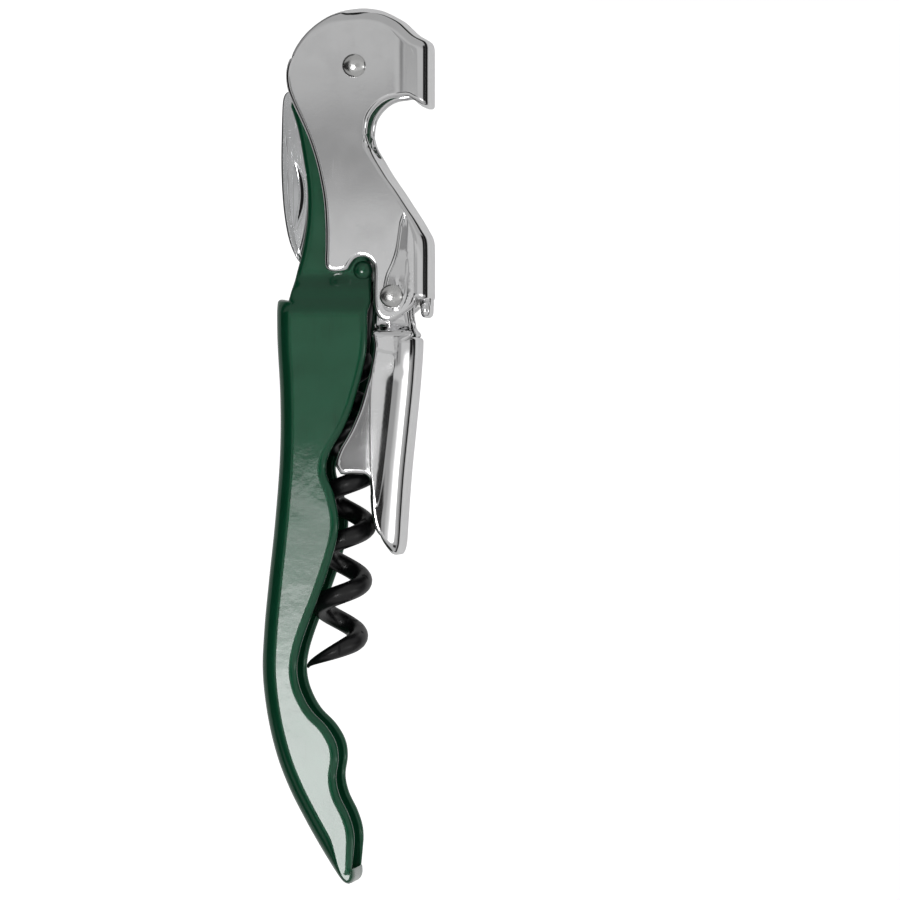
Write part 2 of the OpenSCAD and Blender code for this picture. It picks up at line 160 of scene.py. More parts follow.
def spaced(line: np.ndarray, count: int) -> np.ndarray:
    """The same line in so many even steps.

    Args:
        line: The line.
        count: How many steps.

    Returns:
        The line, with one point more than it has steps.
    """
    run = run_of(line)
    at = np.linspace(0, run[-1], count + 1)
    return np.column_stack([np.interp(at, run, line[:, k]) for k in range(line.shape[1])])


def left_of(line: np.ndarray) -> np.ndarray:
    """The unit directions to the left of each point of a line.

    Args:
        line: The line.

    Returns:
        One direction for each of its points.
    """
    ahead = np.vstack([line[1:], line[-1:]]) - np.vstack([line[:1], line[:-1]])
    ahead /= np.linalg.norm(ahead, axis=1)[:, None]
    return np.column_stack([-ahead[:, 1], ahead[:, 0]])


def beside(line: np.ndarray, gap: float | np.ndarray) -> np.ndarray:
    """The line moved to its left by a gap, which may differ from point to point."""
    return line + left_of(line) * np.reshape(np.broadcast_to(gap, len(line)), (-1, 1))


def arc(centre: tuple[float, float], r: float, start: float, end: float) -> np.ndarray:
    """An arc of radius r about a centre, between two angles in degrees."""
    a = np.radians(np.linspace(start, end, max(int(abs(end - start) / 6), 4)))
    return np.column_stack([centre[0] + r * np.cos(a), centre[1] + r * np.sin(a)])


def gap_to(points: np.ndarray, line: np.ndarray) -> np.ndarray:
    """How far each point is from an open line.

    Args:
        points: The points.
        line: The line.

    Returns:
        The distances.
    """
    a, b = line[:-1], line[1:]
    ab = b - a
    size = np.maximum((ab**2).sum(1), 1e-12)
    best = np.full(len(points), np.inf)
    for k in range(len(a)):
        t = np.clip(((points - a[k]) @ ab[k]) / size[k], 0, 1)
        best = np.minimum(best, ((points - a[k] - t[:, None] * ab[k]) ** 2).sum(1))
    return np.sqrt(best)


def within(points: np.ndarray, loop: np.ndarray) -> np.ndarray:
    """Which points are inside a closed loop.

    Args:
        points: The points.
        loop: The loop.

    Returns:
        True for each point that is inside.
    """
    x, y = points[:, 0], points[:, 1]
    odd = np.zeros(len(points), bool)
    for (x0, y0), (x1, y1) in zip(loop, np.roll(loop, -1, axis=0)):
        if y0 != y1:
            odd ^= ((y0 > y) != (y1 > y)) & (x < (x1 - x0) * (y - y0) / (y1 - y0) + x0)
    return odd


def depth_in(points: np.ndarray, loop: np.ndarray) -> np.ndarray:
    """How far inside a closed loop each point is; outside it is less than nothing."""
    gap = gap_to(points, np.vstack([loop, loop[:1]]))
    return np.where(within(points, loop), gap, -gap)


def soft(t: np.ndarray) -> np.ndarray:
    """Runs from 0 to 1 without a corner, and stays there outside that range."""
    u = np.clip(t, 0, 1)
    return u * u * (3 - 2 * u)


# --- Sheet metal ---


@dataclass
class Fold:
    """A bend along a cheek, and the web or flange that follows it.

    outer is the line of the web's outer face and inner the line where the flat cheek ends,
    point for point. drop is the bend's radius where it is a full fold. turn is how far the
    sheet has turned at each point, 90 for a full fold, and flange is how far from the middle
    of the tool the web stops at each point: 0 is a whole web, and a negative number is no
    web at all. lead is the angle that the cheek already has where the bend starts.
    """

    outer: np.ndarray
    inner: np.ndarray
    drop: float
    turn: np.ndarray
    flange: np.ndarray
    lead: float = 0.0

    @staticmethod
    def along(rows: Rows, drop: float, lead: float = 0.0) -> "Fold":
        """A fold from its rows, with smooth lines between them.

        Args:
            rows: The outer line's x and y, the inner line's x and y, the turn and the flange.
            drop: The bend's radius.
            lead: The angle that the cheek already has there.

        Returns:
            The fold.
        """
        line = np.array(rows, float)
        fine = through(line[:, :4], 0.62)
        run = run_of(line[:, :4])
        at = np.linspace(0, run[-1], len(fine))
        turn = np.interp(at, run, line[:, 4])
        flange = line[np.searchsorted(run, at, side="right") - 1, 5]
        flange = np.where(turn < FULL_TURN, -1, flange)
        return Fold(fine[:, :2], fine[:, 2:4], drop, turn, flange, lead)


@dataclass
class Cheek:
    """One side of a folded sheet, up to its free edges and its folds.

    edges are the free outlines, each run anticlockwise from the end of one fold to the start
    of the next, and folds stand between them in the same order. height gives the face's
    height at each point. Within roll of a free edge the face falls by up to roll_drop. holes
    are rows of x, y and radius, lines are places that the triangles follow, and spacing is
    how far apart the points of the flat are.
    """

    edges: list[np.ndarray]
    folds: list[Fold]
    height: PerPoint
    roll: float = 0.8
    roll_drop: float = 0.16
    holes: list[tuple[float, float, float]] = field(default_factory=list)
    lines: list[np.ndarray] = field(default_factory=list)
    spacing: float = 0.55


@dataclass
class Shell:
    """A closed mesh with a mask that is 1 along its rims."""

    points: np.ndarray
    faces: Faces
    rim: np.ndarray

    @staticmethod
    def joined(shells: Sequence["Shell"]) -> "Shell":
        """Several shells as one.

        Args:
            shells: The shells.

        Returns:
            The one shell.
        """
        points, faces, rims, start = [], [], [], 0
        for s in shells:
            points.append(s.points)
            rims.append(s.rim)
            faces += [tuple(i + start for i in f) for f in s.faces]
            start += len(s.points)
        return Shell(np.vstack(points), faces, np.concatenate(rims))

    def moved(self, at: tuple[float, float]) -> "Shell":
        """The shell with its middle at a place across and along the tool."""
        return Shell(self.points + [at[0], at[1], 0], self.faces, self.rim)


@dataclass
class Sheet:
    """Sheet metal of one thickness with rounded rims.

    rim is the rims' radius and rim_steps how many steps a quarter of it has. Rows of points
    run along each free edge, at row_gap times each number in rows and row_step apart, and
    the field of points starts at field_gap. A line of points runs at guard beside each fold
    and hole. A free edge stops at corner from a fold.
    """

    thickness: float = 1.2
    rim: float = 0.5
    rim_steps: int = 4
    guard: float = 0.11
    corner: float = 0.3
    row_gap: float = 0.27
    row_step: float = 0.45
    field_gap: float = 1.05
    rows: tuple[float, ...] = (0.35, 1, 2, 3)
    bend_steps: int = 10
    web_steps: int = 5

    def inset(self, edge: np.ndarray, gap: float) -> np.ndarray:
        """A free edge moved in from the outline, without the points that fold over.

        Args:
            edge: The outline's free run, with the metal on its left.
            gap: How far in it moves.

        Returns:
            The moved run.
        """
        moved = beside(edge, gap)
        return moved[gap_to(moved, edge) > gap * 0.97]

    def ring(self, hole: tuple[float, float, float], gap: float = 0.0) -> np.ndarray:
        """The edge of a hole's flat surround, or a line at a gap outside it."""
        x, y, r = hole
        return arc((x, y), r + self.rim * 0.4 + gap, 0, 360)[:-1]

    def outline(self, cheek: Cheek) -> tuple[np.ndarray, list[np.ndarray]]:
        """The loop round the flat of a cheek.

        Args:
            cheek: The cheek.

        Returns:
            The closed loop, and its free runs.
        """
        parts, free = [], []
        for k, edge in enumerate(cheek.edges):
            run = self.inset(edge, self.rim)
            before, after = cheek.folds[k - 1].inner[-1], cheek.folds[k].inner[0]
            to_before, to_after = (np.linalg.norm(run - end, axis=1) for end in (before, after))
            run = run[np.minimum(to_before, to_after) > self.corner]
            parts += [run, cheek.folds[k].inner]
            free.append(np.vstack([before, run, after]))
        return np.vstack(parts), free

    def guides(self, cheek: Cheek, loop: np.ndarray) -> tuple[list[np.ndarray], list[np.ndarray]]:
        """The lines that the triangles of a cheek follow.

        Args:
            cheek: The cheek.
            loop: The loop round it.

        Returns:
            The closed lines, of which the loop is the first, and the open ones.
        """
        shut = [loop, *(self.ring(hole) for hole in cheek.holes)]
        guards = [beside(fold.inner, self.guard) for fold in cheek.folds]
        inside = [line[depth_in(line, loop) > 0.9 * self.guard] for line in (*cheek.lines, *guards)]
        return shut, [line for line in inside if len(line) > 1]

    def filling(
        self, cheek: Cheek, loop: np.ndarray, free: list[np.ndarray], inner: list[np.ndarray]
    ) -> np.ndarray:
        """The loose points of a cheek: rows along its free edges, then an even field.

        Args:
            cheek: The cheek.
            loop: The loop round it.
            free: The loop's free runs.
            inner: The open lines inside it.

        Returns:
            The points.
        """
        loose = []
        for k in self.rows:
            for run in free:
                row = evenly(beside(run, self.row_gap * k), self.row_step)
                far = np.min([gap_to(row, f) for f in free], axis=0)
                loose.append(row[(far > 0.26 * k) & (depth_in(row, loop) > 0.2)])
        low, high = loop.min(0), loop.max(0)
        s = cheek.spacing
        gx, gy = np.meshgrid(np.arange(low[0], high[0], s), np.arange(low[1], high[1], s * 0.87))
        gx[1::2] += s / 2
        grid = np.column_stack([gx.ravel(), gy.ravel()])
        grid = grid[depth_in(grid, loop) > s * 0.55]
        loose.append(grid[np.min([gap_to(grid, f) for f in free], axis=0) > self.field_gap])
        loose = np.vstack(loose)
        for hole in cheek.holes:
            away = np.hypot(loose[:, 0] - hole[0], loose[:, 1] - hole[1])
            clear = away > hole[2] + self.rim * 0.4 + 0.35
            loose = np.vstack([loose[clear], self.ring(hole, self.guard)])
        for line in inner:
            loose = loose[gap_to(loose, line) > 0.8 * self.guard]
        return loose

    def flat(self, cheek: Cheek) -> tuple[np.ndarray, Faces]:
        """The outer face of a cheek as triangles.

        Args:
            cheek: The cheek.

        Returns:
            Its points and its faces, which look up.
        """
        loop, free = self.outline(cheek)
        shut, inner = self.guides(cheek, loop)
        edges, start = [], 0
        for line in (*shut, *inner):
            end = start + len(line)
            edges += [(i, i + 1) for i in range(start, end - 1)]
            if start < sum(len(closed) for closed in shut):
                edges.append((end - 1, start))
            start = end
        loose = self.filling(cheek, loop, free, inner)
        every = [Vector(p) for p in np.vstack([*shut, *inner, loose])]
        verts, _, tris, *_ = delaunay_2d_cdt(every, edges, [], 0, 1e-5)
        flat = np.array([tuple(v) for v in verts])
        middles = np.array([flat[list(t)].mean(0) for t in tris])
        keep = within(middles, loop)
        for x, y, r in cheek.holes:
            keep &= np.hypot(middles[:, 0] - x, middles[:, 1] - y) > r + self.rim * 0.35
        gap = np.min([gap_to(flat, f) for f in free], axis=0)
        z = cheek.height(flat) - cheek.roll_drop * np.clip(1 - gap / cheek.roll, 0, 1) ** 2
        faces = []
        for t, kept in zip(tris, keep):
            if kept:
                a, b, c = flat[t[0]], flat[t[1]], flat[t[2]]
                up = (b[0] - a[0]) * (c[1] - a[1]) - (b[1] - a[1]) * (c[0] - a[0])
                faces.append(tuple(t) if up > 0 else tuple(reversed(t)))
        return np.column_stack([flat, z]), faces

    def folded(self, cheek: Cheek, fold: Fold) -> tuple[np.ndarray, Faces]:
        """The outer face of a bend and of its half of the web.

        Args:
            cheek: The cheek that the bend belongs to.
            fold: The bend.

        Returns:
            Its points and faces, as far as the middle of the tool.
        """
        steps, rows = self.bend_steps, self.web_steps
        top = cheek.height(fold.inner)
        points, index = [], {}
        first = math.sin(fold.lead)
        for i, (out, start) in enumerate(zip(fold.outer, fold.inner)):
            full = math.radians(fold.turn[i])
            wide = float(np.linalg.norm(out - start))
            radius = fold.drop
            if fold.turn[i] < FULL_TURN:
                radius = wide / (math.sin(full) - first)
            for k in range(steps + 1):
                a = fold.lead + (full - fold.lead) * k / steps
                share = (math.sin(a) - first) / (math.sin(full) - first)
                fall = radius * (math.cos(fold.lead) - math.cos(a))
                index[i, k] = len(points)
                points.append((*(start + (out - start) * share), top[i] - fall))
            if fold.flange[i] >= 0:
                low, high = fold.flange[i], points[-1][2]
                for k in range(1, rows + 1):
                    index[i, steps + k] = len(points)
                    points.append((*out, high + (low - high) * k / rows))
        faces = []
        for i in range(len(fold.outer) - 1):
            for k in range(steps + rows):
                corners = [(i, k), (i, k + 1), (i + 1, k + 1), (i + 1, k)]
                if all(c in index for c in corners):
                    faces.append(tuple(index[c] for c in corners))
        return np.array(points), faces

    def channel(self, cheek: Cheek, thin: PerPoint | None = None) -> Shell:
        """A whole folded sheet: the cheek, its folds, and the same again on the other side.

        Args:
            cheek: The upper cheek.
            thin: Gives the thickness at each point, where it isn't the same all over.

        Returns:
            The closed shell.
        """
        parts = [self.flat(cheek), *(self.folded(cheek, fold) for fold in cheek.folds)]
        bm = bmesh.new()
        for side in (1, -1):
            for points, faces in parts:
                made = [bm.verts.new((p[0], p[1], side * p[2])) for p in points]
                for f in faces:
                    bm.faces.new([made[i] for i in (f if side > 0 else reversed(f))])
        loose = [v for v in bm.verts if not v.link_faces]
        bmesh.ops.delete(bm, geom=loose, context="VERTS")
        bmesh.ops.remove_doubles(bm, verts=bm.verts, dist=WELD)
        shell = self.thickened(bm, thin)
        bm.free()
        return shell

    def thickened(self, bm: bmesh.types.BMesh, thin: PerPoint | None) -> Shell:
        """Gives an outer face its thickness, with a rounded rim along every open edge.

        Args:
            bm: The outer face.
            thin: Gives the thickness at each point, where it isn't the same all over.

        Returns:
            The closed shell.
        """
        bm.normal_update()
        bm.verts.index_update()
        bm.verts.ensure_lookup_table()
        p = np.array([v.co for v in bm.verts])
        n = np.array([v.normal for v in bm.verts])
        t = thin(p) if thin else np.full(len(p), self.thickness)
        faces = [tuple(v.index for v in f.verts) for f in bm.faces]
        points = [p, p - n * t[:, None]]
        rim = [np.zeros(len(p)), np.zeros(len(p))]
        count = len(p)
        faces += [tuple(i + count for i in reversed(f)) for f in faces]
        open_edges, out = [], {}
        for e in bm.edges:
            if len(e.link_faces) != 1:
                continue
            loop = e.link_loops[0]
            a, b = loop.vert.index, loop.link_loop_next.vert.index
            along = Vector(p[b] - p[a]).normalized()
            away = np.array(along.cross(e.link_faces[0].normal))
            open_edges.append((a, b))
            for i in (a, b):
                out.setdefault(i, []).append(away)
        ends = sorted(out)
        place = {i: k for k, i in enumerate(ends)}
        pe, ne, te = p[ends], n[ends], t[ends]
        away = np.array([np.mean(out[i], axis=0) for i in ends])
        away -= ne * (away * ne).sum(1)[:, None]
        away /= np.maximum(np.linalg.norm(away, axis=1), 1e-6)[:, None]
        r = np.minimum(self.rim, te * 0.49)[:, None]
        rings = [np.array(ends)]
        for k in range(1, 2 * self.rim_steps):
            a = math.pi * k / (2 * self.rim_steps)
            sunk = r if k <= self.rim_steps else te[:, None] - r
            ring = pe - sunk * ne + r * (math.cos(a) * ne + math.sin(a) * away)
            rings.append(sum(len(q) for q in points) + np.arange(len(ends)))
            points.append(ring)
            rim.append(np.ones(len(ends)))
            if k == self.rim_steps and float((te - 2 * r[:, 0]).max()) > 0.02:
                sunk = te[:, None] - r
                rings.append(sum(len(q) for q in points) + np.arange(len(ends)))
                points.append(pe - sunk * ne + r * away)
                rim.append(np.ones(len(ends)))
        rings.append(np.array(ends) + count)
        rim[0][ends] = 0.6
        rim[1][ends] = 0.6
        for a, b in open_edges:
            for upper, lower in zip(rings[:-1], rings[1:]):
                faces.append((upper[place[b]], upper[place[a]], lower[place[a]], lower[place[b]]))
        whole = [tuple(int(i) for i in f) for f in faces]
        return Shell(np.vstack(points), whole, np.concatenate(rim))


def turned(profile: Pairs, steps: int = 48) -> Shell:
    """A shape turned about Z from a profile of radius and height, which ends on the axis.

    Args:
        profile: Rows of radius and height, from the bottom up.
        steps: How many sides it has.

    Returns:
        The closed shell.
    """
    points, faces, rings = [], [], []
    for r, z in profile:
        if r < 1e-6:
            rings.append([len(points)] * steps)
            points.append((0, 0, z))
        else:
            rings.append(list(range(len(points), len(points) + steps)))
            turns = np.linspace(0, 2 * math.pi, steps, endpoint=False)
            points += [(r * math.cos(a), r * math.sin(a), z) for a in turns]
    for low, high in zip(rings[:-1], rings[1:]):
        for k in range(steps):
            j = (k + 1) % steps
            face = list(dict.fromkeys([low[k], low[j], high[j], high[k]]))
            if len(face) > 2:
                faces.append(tuple(face))
    return Shell(np.array(points, float), faces, np.zeros(len(points)))


# --- Node trees ---

Value = float | bpy.types.NodeSocket


class Wiring:
    """Adds nodes to one tree and joins them."""

    def __init__(self, tree: bpy.types.NodeTree) -> None:
        """Starts on a tree.

        Args:
            tree: The tree that is wired.
        """
        self.tree = tree

    def node(self, kind: str, **settings: object) -> bpy.types.Node:
        """A new node with these settings.

        Args:
            kind: The node's type.
            settings: Its properties.

        Returns:
            The node.
        """
        made = self.tree.nodes.new(kind)
        for name, value in settings.items():
            setattr(made, name, value)
        return made

    def feed(self, socket: bpy.types.NodeSocket, value: Value | Colour) -> None:
        """Sets an input to a number, or joins it to another node's output."""
        if isinstance(value, bpy.types.NodeSocket):
            self.tree.links.new(value, socket)
        else:
            socket.default_value = value

    def math(self, operation: str, *values: Value) -> bpy.types.NodeSocket:
        """The outcome of a sum on one, two or three values.

        Args:
            operation: The sum.
            values: What it works on.

        Returns:
            The outcome.
        """
        made = self.node("ShaderNodeMath", operation=operation)
        for socket, value in zip(made.inputs, values):
            self.feed(socket, value)
        return made.outputs[0]

    def slope(
        self, value: Value, low: float, high: float, a: Value = 0.0, b: Value = 1.0
    ) -> bpy.types.NodeSocket:
        """Runs smoothly from a to b as value goes from low to high.

        Args:
            value: What it follows.
            low: Where it starts.
            high: Where it ends.
            a: What it is at the start.
            b: What it is at the end.

        Returns:
            The outcome.
        """
        made = self.node("ShaderNodeMapRange", interpolation_type="SMOOTHSTEP")
        names = ("Value", "From Min", "From Max", "To Min", "To Max")
        for name, what in zip(names, (value, low, high, a, b)):
            self.feed(made.inputs[name], what)
        return made.outputs[0]

    def noise(self, vector: Value, scale: Value, detail: float = 2.0) -> bpy.types.NodeSocket:
        """Noise between 0 and 1.

        Args:
            vector: Where it is read.
            scale: How fine it is.
            detail: How many layers it has.

        Returns:
            The noise.
        """
        made = self.node("ShaderNodeTexNoise")
        self.feed(made.inputs["Vector"], vector)
        self.feed(made.inputs["Scale"], scale)
        self.feed(made.inputs["Detail"], detail)
        return made.outputs[0]

    def stretched(self, vector: Value, turn: Colour, scale: Colour) -> bpy.types.NodeSocket:
        """Coordinates turned and then stretched.

        Args:
            vector: The coordinates.
            turn: The angles about X, Y and Z.
            scale: The stretch in X, Y and Z.

        Returns:
            The new coordinates.
        """
        made = self.node("ShaderNodeMapping")
        self.feed(made.inputs["Vector"], vector)
        made.inputs["Rotation"].default_value = turn
        made.inputs["Scale"].default_value = scale
        return made.outputs[0]

    def blend(self, share: Value, a: Value | Colour, b: Value | Colour) -> bpy.types.NodeSocket:
        """A colour between a and b.

        Args:
            share: How much of b there is.
            a: A colour.
            b: Another.

        Returns:
            The colour.
        """
        made = self.node("ShaderNodeMix", data_type="RGBA")
        colours = [s for s in made.inputs if s.type == "RGBA"]
        self.feed(made.inputs[0], share)
        self.feed(colours[0], a)
        self.feed(colours[1], b)
        return [s for s in made.outputs if s.type == "RGBA"][0]

    def between(self, share: Value, a: Value, b: Value) -> bpy.types.NodeSocket:
        """A number between a and b.

        Args:
            share: How much of b there is.
            a: A number.
            b: Another.

        Returns:
            The number.
        """
        made = self.node("ShaderNodeMix", data_type="FLOAT")
        self.feed(made.inputs[0], share)
        self.feed(made.inputs[2], a)
        self.feed(made.inputs[3], b)
        return made.outputs[0]

    def band(self, value: Value, span: Span) -> bpy.types.NodeSocket:
        """1 between a start and an end and 0 outside them, each side as soft as it says.

        Args:
            value: What it follows.
            span: The start, the end and how soft each is.

        Returns:
            The share.
        """
        start, end, soft_start, soft_end = span
        rise = self.slope(value, start - soft_start, start + soft_start)
        fall = self.slope(value, end - soft_end, end + soft_end, 1.0, 0.0)
        return self.math("MULTIPLY", rise, fall)

    def split(self, vector: Value) -> Sequence[bpy.types.NodeSocket]:
        """The X, Y and Z of a vector.

        Args:
            vector: The vector.

        Returns:
            Its three numbers.
        """
        made = self.node("ShaderNodeSeparateXYZ")
        self.feed(made.inputs[0], vector)
        return made.outputs

    def vector(self, **axes: Value) -> bpy.types.NodeSocket:
        """A vector from its X, Y and Z, each 0 where it isn't given.

        Args:
            axes: The numbers, named X, Y and Z.

        Returns:
            The vector.
        """
        made = self.node("ShaderNodeCombineXYZ")
        for name, value in axes.items():
            self.feed(made.inputs[name], value)
        return made.outputs[0]

    def group(self, tree: bpy.types.NodeTree, **values: Value) -> bpy.types.Node:
        """One of the shared effects, with its inputs set.

        Args:
            tree: The effect's group.
            values: Its inputs, named with _ for a space.

        Returns:
            The node.
        """
        made = self.node("ShaderNodeGroup", node_tree=tree)
        for name, value in values.items():
            self.feed(made.inputs[name.replace("_", " ")], value)
        return made


def opened(
    name: str, kind: str, main: tuple[str, str], sizes: dict[str, float], outputs: dict[str, str]
) -> tuple[Wiring, bpy.types.Node, bpy.types.Node]:
    """Opens a node group.

    Args:
        name: The group's name.
        kind: Its kind of tree.
        main: Its first input's name and kind of socket.
        sizes: The other inputs, which are numbers: each one's name and usual value.
        outputs: Each output's name and kind of socket.

    Returns:
        The wiring, the group's input node and its output node.
    """
    tree = bpy.data.node_groups.new(name, kind)
    tree.interface.new_socket(main[0], in_out="INPUT", socket_type=main[1])
    for label, usual in sizes.items():
        made = tree.interface.new_socket(label, in_out="INPUT", socket_type="NodeSocketFloat")
        made.default_value = usual
    for label, socket in outputs.items():
        tree.interface.new_socket(label, in_out="OUTPUT", socket_type=socket)
    wiring = Wiring(tree)
    return wiring, wiring.node("NodeGroupInput"), wiring.node("NodeGroupOutput")


class Effects:
    """The effects that several finishes share, each built once as a node group."""

    def __init__(self) -> None:
        """Builds the groups."""
        self.scratches = self._scratches()
        self.rim_wear = self._rim_wear()
        self.waves = self._waves()

    @staticmethod
    def _start(
        name: str, sizes: dict[str, float], outputs: Sequence[str]
    ) -> tuple[Wiring, bpy.types.Node, bpy.types.Node]:
        """Opens a group with a Vector input, named numbers and named number outputs."""
        numbers = {label: "NodeSocketFloat" for label in outputs}
        return opened(name, "ShaderNodeTree", ("Vector", "NodeSocketVector"), sizes, numbers)

    def _scratches(self) -> bpy.types.NodeTree:
        """Hairline scratches in three directions: a height and a mask.

        Returns:
            The group.
        """
        w, given, out = self._start(
            "hairline_scratches", {"Fineness": 1500.0, "Amount": 0.3}, ("Height", "Mask")
        )
        at, fineness, amount = (given.outputs[name] for name in ("Vector", "Fineness", "Amount"))
        total: Value = 0.0
        for turn in (0.35, 1.3, 2.4):
            streak = w.noise(w.stretched(at, (0, 0, turn), (1, 0.03, 1)), fineness, 1.0)
            patch = w.noise(at, 110.0 + 70 * turn, 1.0)
            line = w.math("MULTIPLY", w.slope(streak, 0.64, 0.74), w.slope(patch, 0.5, 0.62))
            total = w.math("MAXIMUM", total, line)
        mask = w.math("MULTIPLY", total, amount)
        w.feed(out.inputs["Mask"], mask)
        w.feed(out.inputs["Height"], w.math("MULTIPLY", mask, -1.0))
        return w.tree

    def _rim_wear(self) -> bpy.types.NodeTree:
        """Where the rims are rubbed: a mask, broken up by noise.

        Returns:
            The group.
        """
        w, given, out = self._start("rubbed_rims", {"Amount": 0.5, "Size": 900.0}, ("Mask",))
        rim = w.node("ShaderNodeAttribute", attribute_name="rim").outputs["Fac"]
        patch = w.noise(given.outputs["Vector"], given.outputs["Size"], 3.0)
        mask = w.math("MULTIPLY", w.slope(rim, 0.3, 1.0), w.slope(patch, 0.42, 0.7))
        w.feed(out.inputs["Mask"], w.math("MULTIPLY", mask, given.outputs["Amount"]))
        return w.tree

    def _waves(self) -> bpy.types.NodeTree:
        """The slow waves of pressed sheet and the fine peel of its finish, as a height.

        Returns:
            The group.
        """
        sizes = {"Wave": 0.5, "Wave Size": 120.0, "Peel": 0.5, "Peel Size": 1500.0}
        w, given, out = self._start("sheet_waves", sizes, ("Height",))
        get = given.outputs
        slow = w.noise(get["Vector"], get["Wave Size"], 1.0)
        fine = w.noise(get["Vector"], get["Peel Size"], 2.0)
        peel = w.math("MULTIPLY", fine, get["Peel"])
        w.feed(out.inputs["Height"], w.math("MULTIPLY_ADD", slow, get["Wave"], peel))
        return w.tree


class Surface:
    """A material with its shader, object coordinates and effects at hand."""

    def __init__(self, name: str) -> None:
        """Starts a material.

        Args:
            name: The material's name.
        """
        self.material = bpy.data.materials.new(name)
        self.material.use_nodes = True
        self.w = Wiring(self.material.node_tree)
        self.shader = self.material.node_tree.nodes["Principled BSDF"]
        self.at = self.w.node("ShaderNodeTexCoord").outputs["Object"]

    def set(self, **values: Value | Colour) -> None:
        """Sets the shader's own inputs, named with _ for a space."""
        for name, value in values.items():
            self.w.feed(self.shader.inputs[name.replace("_", " ")], value)

    def bump(self, height: Value, depth_mm: float, under: Value | None = None) -> bpy.types.NodeSocket:
        """A normal that a height of 1 raises by so many millimetres.

        Args:
            height: The height, from 0 to 1.
            depth_mm: How high 1 is.
            under: A normal that it adds to.

        Returns:
            The normal.
        """
        made = self.w.node("ShaderNodeBump")
        made.inputs["Strength"].default_value = 1.0
        made.inputs["Distance"].default_value = depth_mm * MM
        self.w.feed(made.inputs["Height"], height)
        if under is not None:
            self.w.feed(made.inputs["Normal"], under)
        return made.outputs["Normal"]


@dataclass(frozen=True)
class GlossPaint:
    """Thick green enamel with a clear gloss."""

    name: str = "green_enamel"
    colour: tuple[float, float, float] = (0.005, 0.098, 0.042)
    thin: tuple[float, float, float] = (0.012, 0.135, 0.068)

    def material(self, effects: Effects) -> bpy.types.Material:
        """The paint as a material.

        Args:
            effects: The shared effects.

        Returns:
            The material.
        """
        s = Surface(self.name)
        w = s.w
        cloud = w.slope(w.noise(s.at, 160.0, 3.0), 0.35, 0.65)
        speck = w.slope(w.noise(s.at, 5200.0, 1.0), 0.70, 0.76)
        worn = w.group(effects.rim_wear, Vector=s.at, Amount=0.5, Size=700.0).outputs["Mask"]
        lines = w.group(effects.scratches, Vector=s.at, Fineness=7000.0, Amount=0.2)
        shade = w.blend(w.math("MULTIPLY", cloud, 0.25), (*self.colour, 1), (*self.thin, 1))
        shade = w.blend(worn, shade, (*self.thin, 1))
        shade = w.blend(w.math("MULTIPLY", speck, 0.25), shade, (0.03, 0.10, 0.06, 1))
        waves = w.group(effects.waves, Vector=s.at, Wave=0.4, Wave_Size=150.0, Peel=0.05, Peel_Size=1000.0)
        height = w.math("ADD", waves.outputs["Height"], w.math("MULTIPLY", lines.outputs["Height"], 0.01))
        rough = w.math("ADD", w.math("MULTIPLY", w.noise(s.at, 420.0, 3.0), 0.10), 0.36)
        s.set(Base_Color=shade, Roughness=w.math("ADD", rough, lines.outputs["Mask"]), Metallic=0.5)
        s.set(Coat_Weight=1.0, Coat_Roughness=0.05, Coat_IOR=1.5, Specular_IOR_Level=0.1)
        normal = s.bump(height, 0.05)
        s.set(Normal=normal, Coat_Normal=normal)
        return s.material


@dataclass(frozen=True)
class Plating:
    """Bright plated or ground metal.

    grain is how strongly it is brushed, along Y, and haze how dull its duller patches are.
    """

    name: str
    colour: tuple[float, float, float]
    rough: float
    haze: float = 0.05
    wave: float = 0.5
    wave_size: float = 110.0
    grain: float = 0.0
    scratch: float = 0.3

    def material(self, effects: Effects) -> bpy.types.Material:
        """The metal as a material.

        Args:
            effects: The shared effects.

        Returns:
            The material.
        """
        s = Surface(self.name)
        w = s.w
        dark = tuple(c * 0.86 for c in self.colour)
        cloud = w.slope(w.noise(s.at, 210.0, 4.0), 0.40, 0.72)
        lines = w.group(effects.scratches, Vector=s.at, Fineness=8000.0, Amount=self.scratch)
        worn = w.group(effects.rim_wear, Vector=s.at, Amount=0.35, Size=1100.0).outputs["Mask"]
        brushed = w.noise(w.stretched(s.at, (0, 0, 0.04), (1, 0.02, 1)), 5200.0, 2.0)
        waves = w.group(
            effects.waves, Vector=s.at, Wave=self.wave, Wave_Size=self.wave_size, Peel=0.004, Peel_Size=1900.0
        )
        shade = w.blend(w.math("MULTIPLY", cloud, 0.35), (*self.colour, 1), (*dark, 1))
        shade = w.blend(worn, shade, (*dark, 1))
        rough = w.math("MULTIPLY_ADD", cloud, self.haze, self.rough)
        rough = w.math("ADD", rough, w.math("MULTIPLY", lines.outputs["Mask"], 0.35))
        rough = w.math("ADD", rough, w.math("MULTIPLY", brushed, self.grain * 0.2))
        height = w.math("ADD", waves.outputs["Height"], w.math("MULTIPLY", lines.outputs["Height"], 0.02))
        height = w.math("ADD", height, w.math("MULTIPLY", brushed, self.grain * 0.02))
        s.set(Base_Color=shade, Metallic=1.0, Roughness=rough, Normal=s.bump(height, 0.05))
        return s.material


